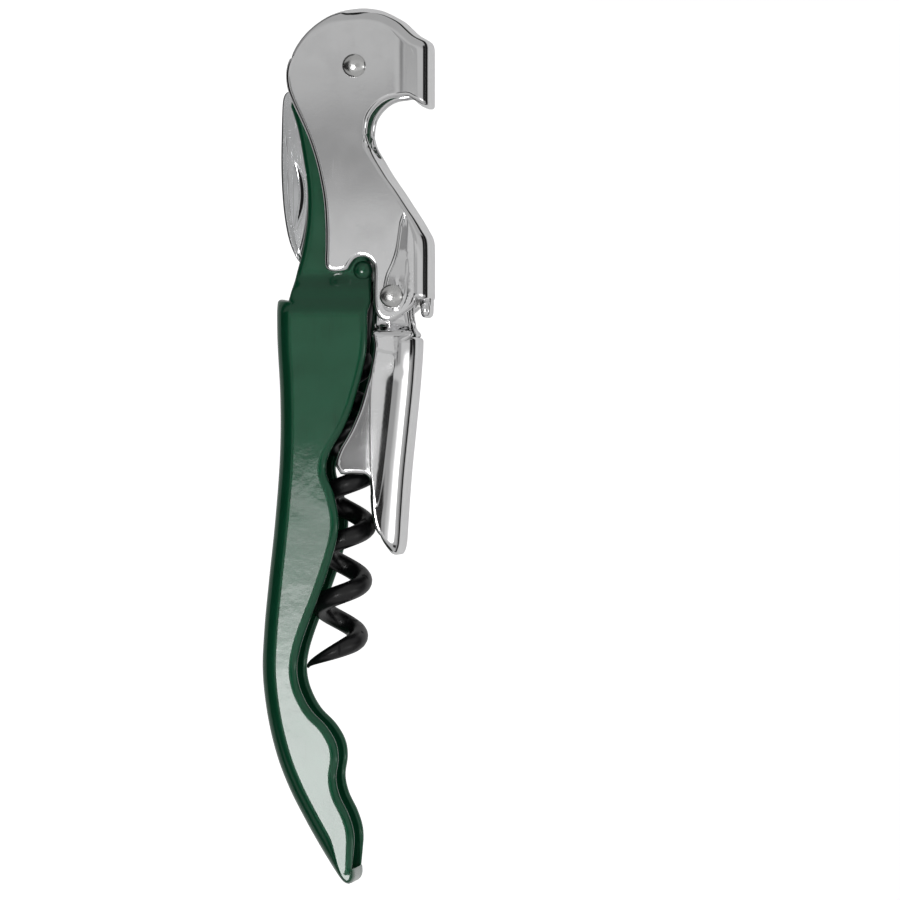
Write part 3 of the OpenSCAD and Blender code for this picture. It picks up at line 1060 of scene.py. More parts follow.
@dataclass(frozen=True)
class BlackCoating:
    """The slick black coating on the worm."""

    name: str = "black_slick_coating"

    def material(self, effects: Effects) -> bpy.types.Material:
        """The coating as a material.

        Args:
            effects: The shared effects.

        Returns:
            The material.
        """
        s = Surface(self.name)
        w = s.w
        speck = w.slope(w.noise(s.at, 3800.0, 2.0), 0.60, 0.72)
        cloud = w.noise(s.at, 330.0, 3.0)
        lines = w.group(effects.scratches, Vector=s.at, Fineness=1200.0, Amount=0.5)
        shade = w.blend(cloud, (0.0035, 0.0035, 0.004, 1), (0.009, 0.009, 0.010, 1))
        shade = w.blend(w.math("MULTIPLY", speck, 0.3), shade, (0.03, 0.03, 0.032, 1))
        rough = w.math("ADD", w.math("MULTIPLY_ADD", cloud, 0.14, 0.24), lines.outputs["Mask"])
        waves = w.group(effects.waves, Vector=s.at, Wave=0.3, Wave_Size=380.0, Peel=0.06, Peel_Size=2600.0)
        s.set(Base_Color=shade, Roughness=rough, Metallic=0.0, Specular_IOR_Level=0.6)
        s.set(Normal=s.bump(waves.outputs["Height"], 0.05))
        return s.material


class Finishes:
    """Every finish on the tool, by the record's slot."""

    made = {
        Slot.PAINT: GlossPaint(),
        Slot.CHROME: Plating(
            "bright_chrome", (0.90, 0.90, 0.905), 0.045, haze=0.02, wave=0.14, scratch=0.06
        ),
        Slot.RIVET: Plating(
            "rivet_nickel", (0.80, 0.80, 0.79), 0.16, haze=0.08, wave=0.9, wave_size=420.0, scratch=0.5
        ),
        Slot.BLADE: Plating(
            "ground_blade", (0.78, 0.79, 0.80), 0.055, haze=0.02, wave=0.15, grain=0.12, scratch=0.3
        ),
        Slot.INNER: Plating(
            "inner_steel", (0.56, 0.56, 0.55), 0.30, haze=0.12, wave=0.4, wave_size=300.0, scratch=0.6
        ),
        Slot.COATING: BlackCoating(),
    }

    def __init__(self) -> None:
        """Makes the materials."""
        effects = Effects()
        self.by_slot = {slot: finish.material(effects) for slot, finish in self.made.items()}


# --- The bench: where pieces are set down ---


class Bench:
    """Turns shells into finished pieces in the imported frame."""

    def __init__(self, finishes: Finishes) -> None:
        """Finds the pivots in the frame.

        Args:
            finishes: The materials.
        """
        self.finishes = finishes
        low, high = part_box("head_rivet")
        self.origin = (np.array(low) + np.array(high)) / 2

    def pivot(self, node: str) -> tuple[float, float]:
        """Where a rivet or pin is, in millimetres from the head rivet.

        Args:
            node: The rivet's or the pin's node.

        Returns:
            Its place across and along the tool.
        """
        low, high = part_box(node)
        at = ((np.array(low) + np.array(high)) / 2 - self.origin) / MM
        return float(at[0]), float(at[1])

    def placed(self, points: np.ndarray) -> np.ndarray:
        """Points in the frame's metres."""
        return points * MM + self.origin

    def mesh(self, name: str, shell: Shell, material: bpy.types.Material) -> bpy.types.Object:
        """A mesh object of a shell.

        Args:
            name: The piece's name.
            shell: Its shape.
            material: Its finish.

        Returns:
            The object, at the origin.
        """
        mesh = bpy.data.meshes.new(name)
        mesh.from_pydata(self.placed(shell.points).tolist(), [], shell.faces)
        mesh.polygons.foreach_set("use_smooth", [True] * len(mesh.polygons))
        rim = mesh.attributes.new("rim", "FLOAT", "POINT")
        rim.data.foreach_set("value", shell.rim)
        mesh.materials.append(material)
        mesh.update()
        made = bpy.data.objects.new(name, mesh)
        bpy.context.collection.objects.link(made)
        return made

    def make(
        self, name: str, shell: Shell, body: Body, slot: Slot, *nodes: str
    ) -> bpy.types.Object:
        """Builds a piece and sets it on its body, in place of the plain nodes it stands for.

        Args:
            name: The piece's name.
            shell: Its shape.
            body: What it moves with.
            slot: Its slot in the record, which gives its finish.
            nodes: The nodes that it replaces.

        Returns:
            The piece.
        """
        piece = self.mesh(name, shell, self.finishes.by_slot[slot])
        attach(piece, body.value)
        if nodes:
            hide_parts(*nodes)
        log.info("%s: %d faces on %s", name, len(shell.faces), body.value)
        return piece


# --- The handle ---


@dataclass
class Handle:
    """The folded and painted handle, with its spine on the left and open on the right.

    The cheeks are neck_half from the middle above shoulder's first Y and half below its
    second. From crown_start below the head rivet they draw in by crown for each millimetre.
    The web ends at web_top. The sheet is tip_sheet thick at tip_from and has its whole
    thickness tip_reach above that. tip_bend is the bend's radius at the tip, how far it
    stays so, and over how far it eases to bend.
    """

    bench: Bench
    sheet: Sheet = field(default_factory=lambda: Sheet(1.2, 0.5))
    bend: float = 2.15
    half: float = 6.17
    neck_half: float = 3.65
    shoulder: tuple[float, float] = (-28.9, -34.2)
    web_top: float = -32.75
    crown: float = 0.005
    crown_start: float = 49.0
    head_r: float = 5.5
    tip_sheet: float = 0.42
    tip_from: float = -111.8
    tip_reach: float = 6
    tip_bend: tuple[float, float, float] = (0.5, 3.2, 7)
    spine: Pairs = (
        (-10.95, -32.4), (-10.9, -38), (-10.5, -46), (-10.55, -54), (-11.22, -63), (-12.12, -71.5),
        (-12.74, -78), (-12.97, -84), (-12.3, -90), (-11.0, -95.5), (-9.2, -100.2),
        (-7.0, -104.5), (-4.9, -108.2), (-2.9, -111.4), (-1.75, -112.95), (-0.95, -113.38),
        (-0.35, -113.1), (0.0, -112.4), (0.0, -111.4),
    )
    lip: Pairs = (
        (0.0, -111.4), (0.1, -109), (0.05, -106.1), (-0.7, -103.6), (-1.9, -101.1),
        (-2.42, -98.7), (-2.1, -96), (-2.45, -93.7), (-3.8, -91.4), (-5.9, -89.2),
        (-7.3, -86.6), (-7.87, -84), (-7.6, -81.4), (-6.7, -78.4), (-5.2, -74.5), (-3.7, -70.4),
        (-2.4, -66), (-2.07, -62.9), (-2.7, -59.4), (-3.7, -56.8), (-3.75, -55), (-2.9, -52.9),
        (-1.6, -50.7), (-0.4, -48), (0.55, -45), (1.3, -42.2), (1.8, -39.6), (1.95, -36.7),
        (1.95, -34.2), (2.3, -32.6),
    )
    neck_right: Pairs = (
        (2.3, -32.6), (2.3, -29), (2.1, -27.4), (1.4, -24.5), (1.0, -20), (0.6, -15),
        (0.35, -11), (0.4, -8.4), (1.0, -6.2), (2.55, -4.9),
    )
    neck_left: Pairs = (
        (-5.2, -2.5), (-7.0, -3.6), (-8.8, -4.6), (-9.25, -5.3), (-8.85, -6.6), (-8.2, -8.8),
        (-7.5, -12.5), (-7.0, -16), (-6.85, -18.7), (-7.0, -22), (-7.6, -25.6), (-8.55, -29.2),
        (-9.3, -32.2),
    )

    def height(self, at: np.ndarray) -> np.ndarray:
        """The cheek's height: it steps out from the neck to the grip in two swells.

        Args:
            at: The points.

        Returns:
            Their heights.
        """
        down = (self.shoulder[0] - at[:, 1]) / (self.shoulder[0] - self.shoulder[1])
        rise = 0.5 * soft(down / 0.52) + 0.5 * soft((down - 0.48) / 0.52)
        fall = np.clip(-self.crown_start - at[:, 1], 0, None)
        fall = np.where(fall < 6, fall**2 / 12, fall - 3)
        return self.neck_half + (self.half - self.neck_half) * rise - self.crown * fall

    def thin(self, at: np.ndarray) -> np.ndarray:
        """The sheet's thickness, which is drawn thinner round the tip."""
        full = soft((at[:, 1] - self.tip_from) / self.tip_reach)
        return self.tip_sheet + (self.sheet.thickness - self.tip_sheet) * full

    def cheek(self) -> Cheek:
        """The upper cheek with the spine's fold.

        Returns:
            The cheek.
        """
        spine = through(self.spine, 0.4)
        spine = spine[spine[:, 1] < self.web_top]
        run = run_of(spine)
        tight, kept, eased = self.tip_bend
        bend = tight + (self.bend - tight) * soft((run[-1] - run - kept) / eased)
        whole = np.full(len(spine), 90.0)
        fold = Fold(spine, beside(spine, bend), self.bend, whole, np.zeros(len(spine)))
        head = arc((0, 0), self.head_r, -60, 200)
        edge = np.vstack([
            through(self.lip)[:-1], through(self.neck_right)[:-1], evenly(head, 0.45)[:-1],
            through(self.neck_left),
        ])
        return Cheek([edge], [fold], self.height, roll=0.54, roll_drop=0.06, holes=[(0, 0, BORE)])

    def pin_heads(self) -> Shell:
        """The two painted lugs over the ends of the worm's pin.

        Returns:
            The closed shell.
        """
        profile = (
            (0, 3.0), (1.36, 3.0), (1.34, 3.66), (1.29, 3.78), (1.15, 3.91), (0.92, 4.03),
            (0.62, 4.11), (0.3, 4.145), (0, 4.15),
        )
        paint = self.bench.finishes.by_slot[Slot.PAINT]
        return BothEnds().grown(turned(profile, 32), paint).moved(self.bench.pivot("worm_pin"))

    def build(self) -> None:
        """Builds the handle and the painted heads of the worm's pin."""
        shell = self.sheet.channel(self.cheek(), self.thin)
        self.bench.make("handle_shell", shell, Body.HANDLE, Slot.PAINT, "handle")
        self.bench.make("pin_heads", self.pin_heads(), Body.HANDLE, Slot.PAINT)


# --- Shapes that repeat or follow a rule ---


class GrownShape:
    """A shape that a geometry node tree grows, in millimetres."""

    name = "grown"
    sizes: dict[str, float] = {}

    def tree(self, material: bpy.types.Material) -> bpy.types.NodeTree:
        """Builds the tree; each kind of shape has its own."""
        raise NotImplementedError

    def started(self) -> tuple[Wiring, bpy.types.Node, bpy.types.Node]:
        """Opens a tree with a geometry input and output and its named sizes."""
        solid = ("Geometry", "NodeSocketGeometry")
        return opened(self.name, "GeometryNodeTree", solid, self.sizes, dict([solid]))

    @staticmethod
    def ended(
        w: Wiring, out: bpy.types.Node, shape: bpy.types.NodeSocket, material: bpy.types.Material
    ) -> bpy.types.NodeTree:
        """Ends a tree: makes its instances real and sets their material.

        Args:
            w: The tree's wiring.
            out: Its output node.
            shape: The geometry that it has grown.
            material: The finish.

        Returns:
            The tree.
        """
        real = w.node("GeometryNodeRealizeInstances")
        w.feed(real.inputs["Geometry"], shape)
        paint = w.node("GeometryNodeSetMaterial")
        paint.inputs["Material"].default_value = material
        w.feed(paint.inputs["Geometry"], real.outputs["Geometry"])
        w.feed(out.inputs["Geometry"], paint.outputs["Geometry"])
        return w.tree

    def grown(self, start: Shell, material: bpy.types.Material, **marks: np.ndarray) -> Shell:
        """Runs the tree on a shell.

        Args:
            start: What the tree starts from.
            material: What the tree finishes it with.
            marks: Named numbers for each of its points, which the tree reads.

        Returns:
            The plain mesh that the tree makes of it.
        """
        base = bpy.data.objects.new(self.name, bpy.data.meshes.new(self.name))
        base.data.from_pydata(start.points.tolist(), [], start.faces)
        for name, values in marks.items():
            made = base.data.attributes.new(name, "FLOAT", "POINT")
            made.data.foreach_set("value", values)
        bpy.context.collection.objects.link(base)
        modifier = base.modifiers.new(self.name, "NODES")
        modifier.node_group = self.tree(material)
        for item in modifier.node_group.interface.items_tree:
            if item.in_out == "INPUT" and item.name in self.sizes:
                modifier[item.identifier] = float(self.sizes[item.name])
        bpy.context.view_layer.update()
        graph = bpy.context.evaluated_depsgraph_get()
        mesh = bpy.data.meshes.new_from_object(base.evaluated_get(graph), depsgraph=graph)
        points = np.empty(len(mesh.vertices) * 3)
        mesh.vertices.foreach_get("co", points)
        faces = [tuple(p.vertices) for p in mesh.polygons]
        first = base.data
        bpy.data.objects.remove(base)
        bpy.data.meshes.remove(first)
        bpy.data.meshes.remove(mesh)
        return Shell(points.reshape(-1, 3), faces, np.zeros(len(points) // 3))


class BothEnds(GrownShape):
    """Puts a head at each end of a pin that runs along Z, turned to face outwards."""

    name = "both_ends"
    sizes = {"Lift": 0.0}

    def tree(self, material: bpy.types.Material) -> bpy.types.NodeTree:
        """A point at each end, Lift from the middle, and the given head on each.

        Args:
            material: What the shape is finished with.

        Returns:
            The tree.
        """
        w, given, out = self.started()
        lift = given.outputs["Lift"]
        line = w.node("GeometryNodeMeshLine")
        line.inputs["Count"].default_value = 2
        w.feed(line.inputs["Start Location"], w.vector(Z=w.math("MULTIPLY", lift, -1.0)))
        w.feed(line.inputs["Offset"], w.vector(Z=w.math("MULTIPLY", lift, 2.0)))
        index = w.node("GeometryNodeInputIndex").outputs[0]
        half_turn = w.math("MULTIPLY", w.math("SUBTRACT", 1.0, index), math.pi)
        place = w.node("GeometryNodeInstanceOnPoints")
        w.feed(place.inputs["Points"], line.outputs["Mesh"])
        w.feed(place.inputs["Instance"], given.outputs["Geometry"])
        w.feed(place.inputs["Rotation"], w.vector(X=half_turn))
        return self.ended(w, out, place.outputs["Instances"], material)


class WormWire(GrownShape):
    """The worm's wire: a straight shank, then turns that widen fast and taper to a point."""

    name = "worm_wire"
    sizes = {
        "Length": 55.6, "Shank": 11.0, "Pitch": 7.7, "Coil": 2.75, "Wire": 1.35, "Start": 2.1,
    }

    def tree(self, material: bpy.types.Material) -> bpy.types.NodeTree:
        """A line along the worm, wound into turns and thickened.

        Args:
            material: What the shape is finished with.

        Returns:
            The tree.
        """
        w, given, out = self.started()
        get = given.outputs
        line = w.node("GeometryNodeCurvePrimitiveLine")
        line.inputs["End"].default_value = (0, 1, 0)
        many = w.node("GeometryNodeResampleCurve")
        w.feed(many.inputs["Curve"], line.outputs["Curve"])
        many.inputs["Count"].default_value = 420
        share = w.node("GeometryNodeSplineParameter").outputs["Factor"]
        reach = w.math("SUBTRACT", get["Length"], get["Start"])
        along = w.math("MULTIPLY_ADD", share, reach, get["Start"])
        turn = w.math("DIVIDE", w.math("SUBTRACT", along, get["Shank"]), get["Pitch"])
        turns = w.math("DIVIDE", w.math("SUBTRACT", get["Length"], get["Shank"]), get["Pitch"])
        widen = w.slope(turn, 0.0, 0.75)
        left = w.math("SUBTRACT", turns, turn)
        thick = w.slope(left, -0.12, 0.62, 0.06, 1.0)
        ground = w.math("MULTIPLY", w.math("SUBTRACT", 1.0, thick), get["Wire"])
        radius = w.math("ADD", w.math("MULTIPLY", get["Coil"], widen), ground)
        led = w.math("SUBTRACT", w.slope(left, 0.0, 0.5, 0.0, 0.11), left)
        angle = w.math("MULTIPLY_ADD", led, 2 * math.pi, math.pi)
        place = w.vector(
            X=w.math("MULTIPLY", radius, w.math("COSINE", angle)),
            Y=w.math("MULTIPLY", along, -1.0),
            Z=w.math("MULTIPLY", radius, w.math("SINE", angle)),
        )
        wind = w.node("GeometryNodeSetPosition")
        w.feed(wind.inputs["Geometry"], many.outputs["Curve"])
        w.feed(wind.inputs["Position"], place)
        ring = w.node("GeometryNodeCurvePrimitiveCircle")
        ring.inputs["Resolution"].default_value = 20
        w.feed(ring.inputs["Radius"], get["Wire"])
        tube = w.node("GeometryNodeCurveToMesh")
        tube.inputs["Fill Caps"].default_value = True
        w.feed(tube.inputs["Curve"], wind.outputs["Geometry"])
        w.feed(tube.inputs["Scale"], thick)
        w.feed(tube.inputs["Profile Curve"], ring.outputs["Curve"])
        return self.ended(w, out, tube.outputs["Mesh"], material)


# --- The levers ---


@dataclass
class UpperLever:
    """The chromed upper lever: the cap opener's head, its hook, and the first foot.

    head and foot are the rows of its two folds. Along the top of the head the flange stops
    1.5 from the middle, which leaves the slot that the blade swings through. The recess
    round the hinge goes down by recess_step over recess_wall and comes up again by
    recess_rise for each millimetre, which turns its floor a little.
    """

    bench: Bench
    sheet: Sheet = field(default_factory=lambda: Sheet(1.2, 0.42))
    bend: float = 2.0
    half: float = 5.45
    head: Rows = (
        (10.3, -5.3, 8.35, -4.3, 90, 0), (10.3, -4.0, 8.3, -3.5, 90, 0),
        (10.3, -1.5, 8.3, -1.6, 90, 0), (10.3, 1.5, 8.25, 1.1, 90, 0),
        (10.25, 2.9, 8.1, 2.0, 90, 0), (9.8, 3.65, 7.8, 2.5, 90, 0),
        (8.3, 4.55, 7.2, 2.95, 90, 1.5), (7.4, 5.35, 6.2, 3.85, 90, 1.5),
        (6.4, 6.3, 5.2, 4.75, 90, 1.5), (5.2, 7.05, 4.2, 5.35, 90, 1.5),
        (3.8, 7.65, 3.15, 5.8, 90, 1.5), (2.4, 7.95, 2.0, 6.05, 90, 1.5),
        (0.9, 8.05, 0.8, 6.1, 90, 1.5), (-0.5, 7.92, -0.45, 6.0, 90, 1.5),
        (-1.2, 7.72, -1.0, 5.95, 60, -1), (-2.25, 7.27, -1.9, 5.75, 32, -1),
        (-3.53, 6.66, -3.0, 5.4, 20, -1), (-4.9, 5.78, -4.3, 4.8, 15, -1),
        (-6.2, 4.68, -5.75, 4.1, 13, -1), (-7.15, 3.6, -6.85, 3.3, 12, -1),
        (-7.95, 2.4, -7.78, 2.27, 11, -1), (-8.5, 1.25, -8.46, 1.23, 10, -1),
    )
    foot: Rows = (
        (10.3, -32.0, 8.3, -31.9, 90, 0), (10.3, -29, 8.3, -28.8, 90, 0),
        (10.3, -25.4, 8.3, -25.1, 90, 0), (10.15, -23.9, 8.2, -23.6, 90, 0),
        (9.6, -22.8, 7.8, -22.2, 90, 0), (8.8, -21.4, 7.05, -20.4, 90, 0),
        (7.5, -19.4, 5.85, -18.35, 90, 0), (6.2, -17.4, 4.55, -16.3, 90, 0),
        (5.05, -15.75, 3.35, -14.65, 90, 0), (4.05, -14.2, 2.4, -13.1, 90, 0),
        (3.2, -12.75, 1.55, -11.75, 90, 0), (2.6, -11.9, 1.25, -11.1, 66, -1),
        (2.1, -11.2, 1.12, -10.65, 42, -1), (1.75, -10.65, 1.2, -10.38, 26, -1),
        (1.55, -10.2, 1.36, -10.13, 16, -1), (1.43, -9.75, 1.39, -9.74, 12, -1),
    )
    notch: Pairs = (
        (1.82, -9.75), (1.7, -9.1), (1.95, -7.5), (2.6, -6.3), (3.7, -5.2),
        (4.9, -4.6), (6.2, -4.4), (7.4, -4.3), (8.3, -4.75),
    )
    edge: Pairs = (
        (-8.92, 1.35), (-9.4, 0.1), (-9.58, -1.4), (-9.35, -3.2), (-8.6, -5.2), (-7.35, -7.85),
        (-6.28, -10.4), (-5.38, -13.2), (-4.75, -15.95), (-4.3, -18.7), (-4.08, -22),
        (-4.06, -24.9), (-4.1, -27.4), (-3.6, -28.4), (-2.3, -28.55), (-1.05, -28.3),
        (-0.6, -27.6), (0.1, -26.75), (1.0, -26.5), (1.9, -26.75), (2.55, -27.6), (2.65, -28.6),
        (2.62, -31), (2.65, -33.0), (2.85, -34.0), (3.4, -34.9), (4.3, -35.4), (5.2, -35.4),
        (6.3, -34.8), (7.5, -34.0), (8.3, -33.2), (8.6, -32.4),
    )
    recess: Pairs = (
        (6.1, -22.0), (5.6, -25.6), (5.1, -27.2), (4.3, -29.0), (3.9, -30.8), (3.75, -32.2),
        (4.2, -33.4), (5.2, -34.1), (6.4, -33.7), (7.1, -32.6), (7.5, -31), (7.6, -27), (7.6, -23.4),
        (7.5, -21.4), (7.15, -20.2), (6.6, -20.6),
    )
    recess_wall: float = 0.55
    recess_step: float = 0.06
    recess_rise: float = 0.052
    bead_at: tuple[float, float] = (9.58, -33.62)
    bead_size: tuple[float, float] = (0.72, 1.25)
    bead_half: float = 2.6

    def height(self, at: np.ndarray) -> np.ndarray:
        """The cheek's height: flat, with a recess round the hinge and a fall to the hook.

        Args:
            at: The points.

        Returns:
            Their heights.
        """
        z = np.full(len(at), self.half)
        recess = closed(self.recess, 0.3)[:-1]
        side = np.array(self.recess[5::-1] + self.recess[:-3:-1])
        inward = np.clip(at[:, 0] - np.interp(at[:, 1], side[:, 1], side[:, 0]), 0, None)
        low_right = soft((-26.7 - at[:, 1]) / 0.4) * soft((at[:, 0] - 6.0) / 0.3)
        quad = np.clip(7.6 - at[:, 0], 0, 1.5) * low_right
        rise = self.recess_rise * (np.clip(inward - self.recess_wall, 0, None) + quad)
        step = self.recess_step * soft(inward / self.recess_wall) - rise
        z -= step * soft(depth_in(at, recess) / 0.5)
        beyond = np.clip(at[:, 0] - 5.0, 0, 4) * soft((at[:, 1] + 9) / 4)
        return z - 0.018 * beyond**2

    def cheek(self) -> Cheek:
        """The upper cheek with its two folds.

        Returns:
            The cheek.
        """
        recess = closed(self.recess, 0.35)
        x, y = self.bench.pivot("lever_rivet")
        return Cheek(
            [through(self.edge, 0.4), through(self.notch, 0.4)],
            [Fold.along(self.foot, self.bend), Fold.along(self.head, self.bend)],
            self.height,
            roll_drop=0.0,
            holes=[(0, 0, BORE), (x, y, BORE)],
            lines=[recess, *(self.sheet.inset(recess, 0.14 * k) for k in range(1, 6))],
        )

    def bead(self) -> Shell:
        """The rolled bead below the back wall, which is the first step's foot.

        Returns:
            The closed shell.
        """
        points, faces, count = [], [], 20
        x, y = self.bead_at
        wide, tall = self.bead_size
        spread = np.linspace(-1, 1, 15)
        for s in spread:
            out = math.sin(s * math.pi / 2)
            near = math.sqrt(max(1 - abs(out) ** 8, 0.0))
            rx, ry = wide * (0.55 + 0.45 * near), tall * (0.7 + 0.3 * near)
            for k in range(count):
                a = 2 * math.pi * k / count
                px, py = math.cos(a), math.sin(a)
                across = rx * np.sign(px) * abs(px) ** 0.8
                along = ry * np.sign(py) * abs(py) ** 0.7
                points.append((x + across, y + along, self.bead_half * out))
        for i in range(len(spread) - 1):
            low, high = i * count, (i + 1) * count
            for k in range(count):
                j = (k + 1) % count
                faces.append((low + k, low + j, high + j, high + k))
        last = (len(spread) - 1) * count
        faces.append(tuple(reversed(range(count))))
        faces.append(tuple(range(last, last + count)))
        return Shell(np.array(points), faces, np.full(len(points), 0.5))

    def tongue(self) -> Shell:
        """The narrow strip of the back wall that carries the bead.

        Returns:
            The closed shell.
        """
        ring = [(10.25, 2.5), (10.25, -2.5), (9.15, -2.5), (9.15, 2.5)]
        points = [(x, y, z) for y in (-31.4, -33.2) for x, z in ring]
        faces = [(0, 1, 5, 4), (1, 2, 6, 5), (2, 3, 7, 6), (3, 0, 4, 7), (3, 2, 1, 0), (4, 5, 6, 7)]
        return Shell(np.array(points, float), faces, np.zeros(8))

    def build(self) -> None:
        """Builds the lever."""
        shell = self.sheet.channel(self.cheek())
        whole = Shell.joined([shell, self.tongue(), self.bead()])
        self.bench.make("upper_lever_shell", whole, Body.UPPER, Slot.CHROME, "upper_lever")


@dataclass
class LowerLever:
    """The chromed lower lever with its faint raised panel and the second foot.

    The cheek steps out from the ears at step, from ear_half to half. shade is how far from
    the back the face begins to fall away, over what distance, and how steeply; turn_in is
    where within that it turns on to the angle lead, which the bend then takes over.
    """

    bench: Bench
    handle: Handle
    sheet: Sheet = field(default_factory=lambda: Sheet(1.2, 0.42))
    bend: float = 2.3
    lead: float = 0.2
    half: float = 6.0
    ear_half: float = 4.15
    step: tuple[float, float] = (-35.9, -37.0)
    web: Rows = (
        (6.0, -67.5, 4.3, -65.25, 90, 0), (6.3, -66.6, 3.95, -64.4, 90, 0),
        (6.45, -65.2, 3.9, -63.0, 90, 0), (6.6, -62.8, 4.15, -61.3, 90, 0),
        (6.87, -59, 4.63, -58.3, 90, 0), (7.14, -55.7, 4.87, -55.3, 90, 0),
        (7.7, -50.2, 5.41, -49.95, 90, 0), (8.25, -44.7, 5.95, -44.55, 90, 0),
        (8.6, -40, 6.3, -39.9, 90, 0), (8.66, -38.0, 6.36, -38.0, 90, 0),
    )
    ear_right: Pairs = (
        (7.4, -38.2), (8.1, -37.4), (8.05, -36.6), (7.7, -36), (7.4, -34.4), (7.45, -33.2),
    )
    ear_left: Pairs = ((2.82, -32.5), (2.7, -34.5), (2.55, -37.2))
    foot: Pairs = (
        (-2.55, -56.3), (-1.6, -56.62), (-0.5, -56.55), (0.9, -56.6), (1.7, -56.75),
        (2.15, -57.5), (2.3, -60), (2.5, -62.2), (2.9, -63.9), (3.5, -64.9), (4.15, -65.35),
    )
    rows: tuple[float, ...] = (
        -38.6, -40, -41.4, -43, -44.5, -46, -47.5, -48.9, -50.3, -51.6, -52.9, -54.2, -55.5,
    )
    panel_wall: float = 0.24
    panel: Pairs = (
        (2.45, -42.2), (2.2, -45), (2.13, -48), (2.13, -52), (2.25, -56), (2.6, -59), (3.0, -61.2),
        (3.6, -60.4), (4.2, -57.0), (4.68, -53.2), (5.25, -48.4), (5.7, -44.0), (5.9, -40.2),
        (4.4, -39.55), (2.75, -39.35),
    )
    crease: Pairs = ((2.2, -58), (2.1, -52), (2.1, -48), (2.2, -45), (2.45, -42.2), (2.75, -39.35))
    panel_rise: float = 0.02
    crease_slope: float = 0.055
    shade: tuple[float, float, float] = (4.5, 0.9, 0.05)
    turn_in: tuple[float, float] = (1.5, 0.7)

    def height(self, at: np.ndarray) -> np.ndarray:
        """The cheek's height: it steps out below the ears, and carries a faint raised panel.

        Args:
            at: The points.

        Returns:
            Their heights.
        """
        y = at[:, 1]
        down = soft((self.step[0] - y) / (self.step[0] - self.step[1]))
        z = self.ear_half + (self.half - self.ear_half) * down
        panel = closed(self.panel, 0.35)[:-1]
        z += self.panel_rise * soft(depth_in(at, panel) / self.panel_wall) * down
        web = np.array(self.web)[:, :2]
        right = np.interp(y, web[:, 1], web[:, 0])
        reach, ease, slope = self.shade
        grid = np.linspace(0, reach, 181)
        early = np.cumsum(slope * soft(grid / ease)) * (grid[1] - grid[0])
        late = (self.lead - slope) * np.clip((grid - self.turn_in[0]) / self.turn_in[1], 0, 1)
        late = np.cumsum(late) * (grid[1] - grid[0])
        near = np.clip(at[:, 0] - (right - reach), 0, reach)
        fall = np.interp(near, grid, early) * soft((-41 - y) / 3) + np.interp(near, grid, late)
        z -= down * fall
        crease = np.array(self.crease)
        out = np.clip(np.interp(y, crease[:, 1], crease[:, 0]) - at[:, 0], 0, None)
        low = soft((self.step[1] - 1.0 - y) / 3)
        z -= self.crease_slope * low * np.where(out < 0.3, out**2 / 0.6, out - 0.15)
        lip = np.array(self.handle.lip)
        edge = np.clip(1.8 - (at[:, 0] - np.interp(y, lip[:, 1], lip[:, 0])), 0, 2.0)
        return z - 0.05 * low * edge**2

    def cheek(self) -> Cheek:
        """The upper cheek with its fold.

        Returns:
            The cheek.
        """
        lip = np.array(self.handle.lip)
        rows = np.array(self.rows)
        left = np.column_stack([np.interp(rows, lip[:, 1], lip[:, 0]) + 0.9, rows])
        gaps = (-0.4, 0.5, 1.0, 1.4)
        x, y = self.bench.pivot("lever_rivet")
        ear = evenly(arc((x, y), 2.5, -20, 200), 0.4)
        panel = closed(self.panel, 0.4)
        edge = np.vstack([
            through(self.ear_right, 0.4),
            ear[1:-1],
            through((*self.ear_left, *map(tuple, left)), 0.4)[1:],
            through(self.foot, 0.4)[1:],
        ])
        return Cheek(
            [edge],
            [Fold.along(self.web, self.bend, self.lead)],
            self.height,
            roll_drop=0.0,
            holes=[(x, y, BORE)],
            lines=[panel, *(self.sheet.inset(panel, self.panel_wall * k) for k in gaps)],
        )

    def build(self) -> None:
        """Builds the lever."""
        shell = self.sheet.channel(self.cheek())
        self.bench.make("lower_lever_shell", shell, Body.LOWER, Slot.CHROME, "lower_lever")


# --- The rivets ---


@dataclass
class Rivets:
    """The two rivets, with a domed head and a pressed ring at each end.

    foot and top are the heights of the head's underside and of its crown.
    """

    bench: Bench
    shank: float = 1.22
    head_r: float = 1.65
    foot: float = 5.42
    top: float = 6.19

    def head(self) -> Shell:
        """One head with half of the shank, on the Z axis.

        Returns:
            The closed shell.
        """
        rise = self.top - self.foot
        dome = [
            (self.head_r * math.cos(a), self.foot + rise * (0.2 + 0.8 * math.sin(a)))
            for a in np.radians(np.linspace(0, 90, 12))
        ]
        dome[-1] = (0.0, self.top)
        stem = [
            (0, 0.0), (self.shank, 0.0), (self.shank, self.foot - 0.3),
            (self.head_r - 0.05, self.foot - 0.02), (self.head_r, self.foot + 0.05),
        ]
        return turned([*stem, *dome], 56)

    def build(self) -> None:
        """Builds both rivets."""
        steel = self.bench.finishes.by_slot[Slot.RIVET]
        for node, body in (("head_rivet", Body.HANDLE), ("lever_rivet", Body.UPPER)):
            both = BothEnds().grown(self.head(), steel).moved(self.bench.pivot(node))
            self.bench.make(f"{node}_turned", both, body, Slot.RIVET, node)


# --- The worm ---


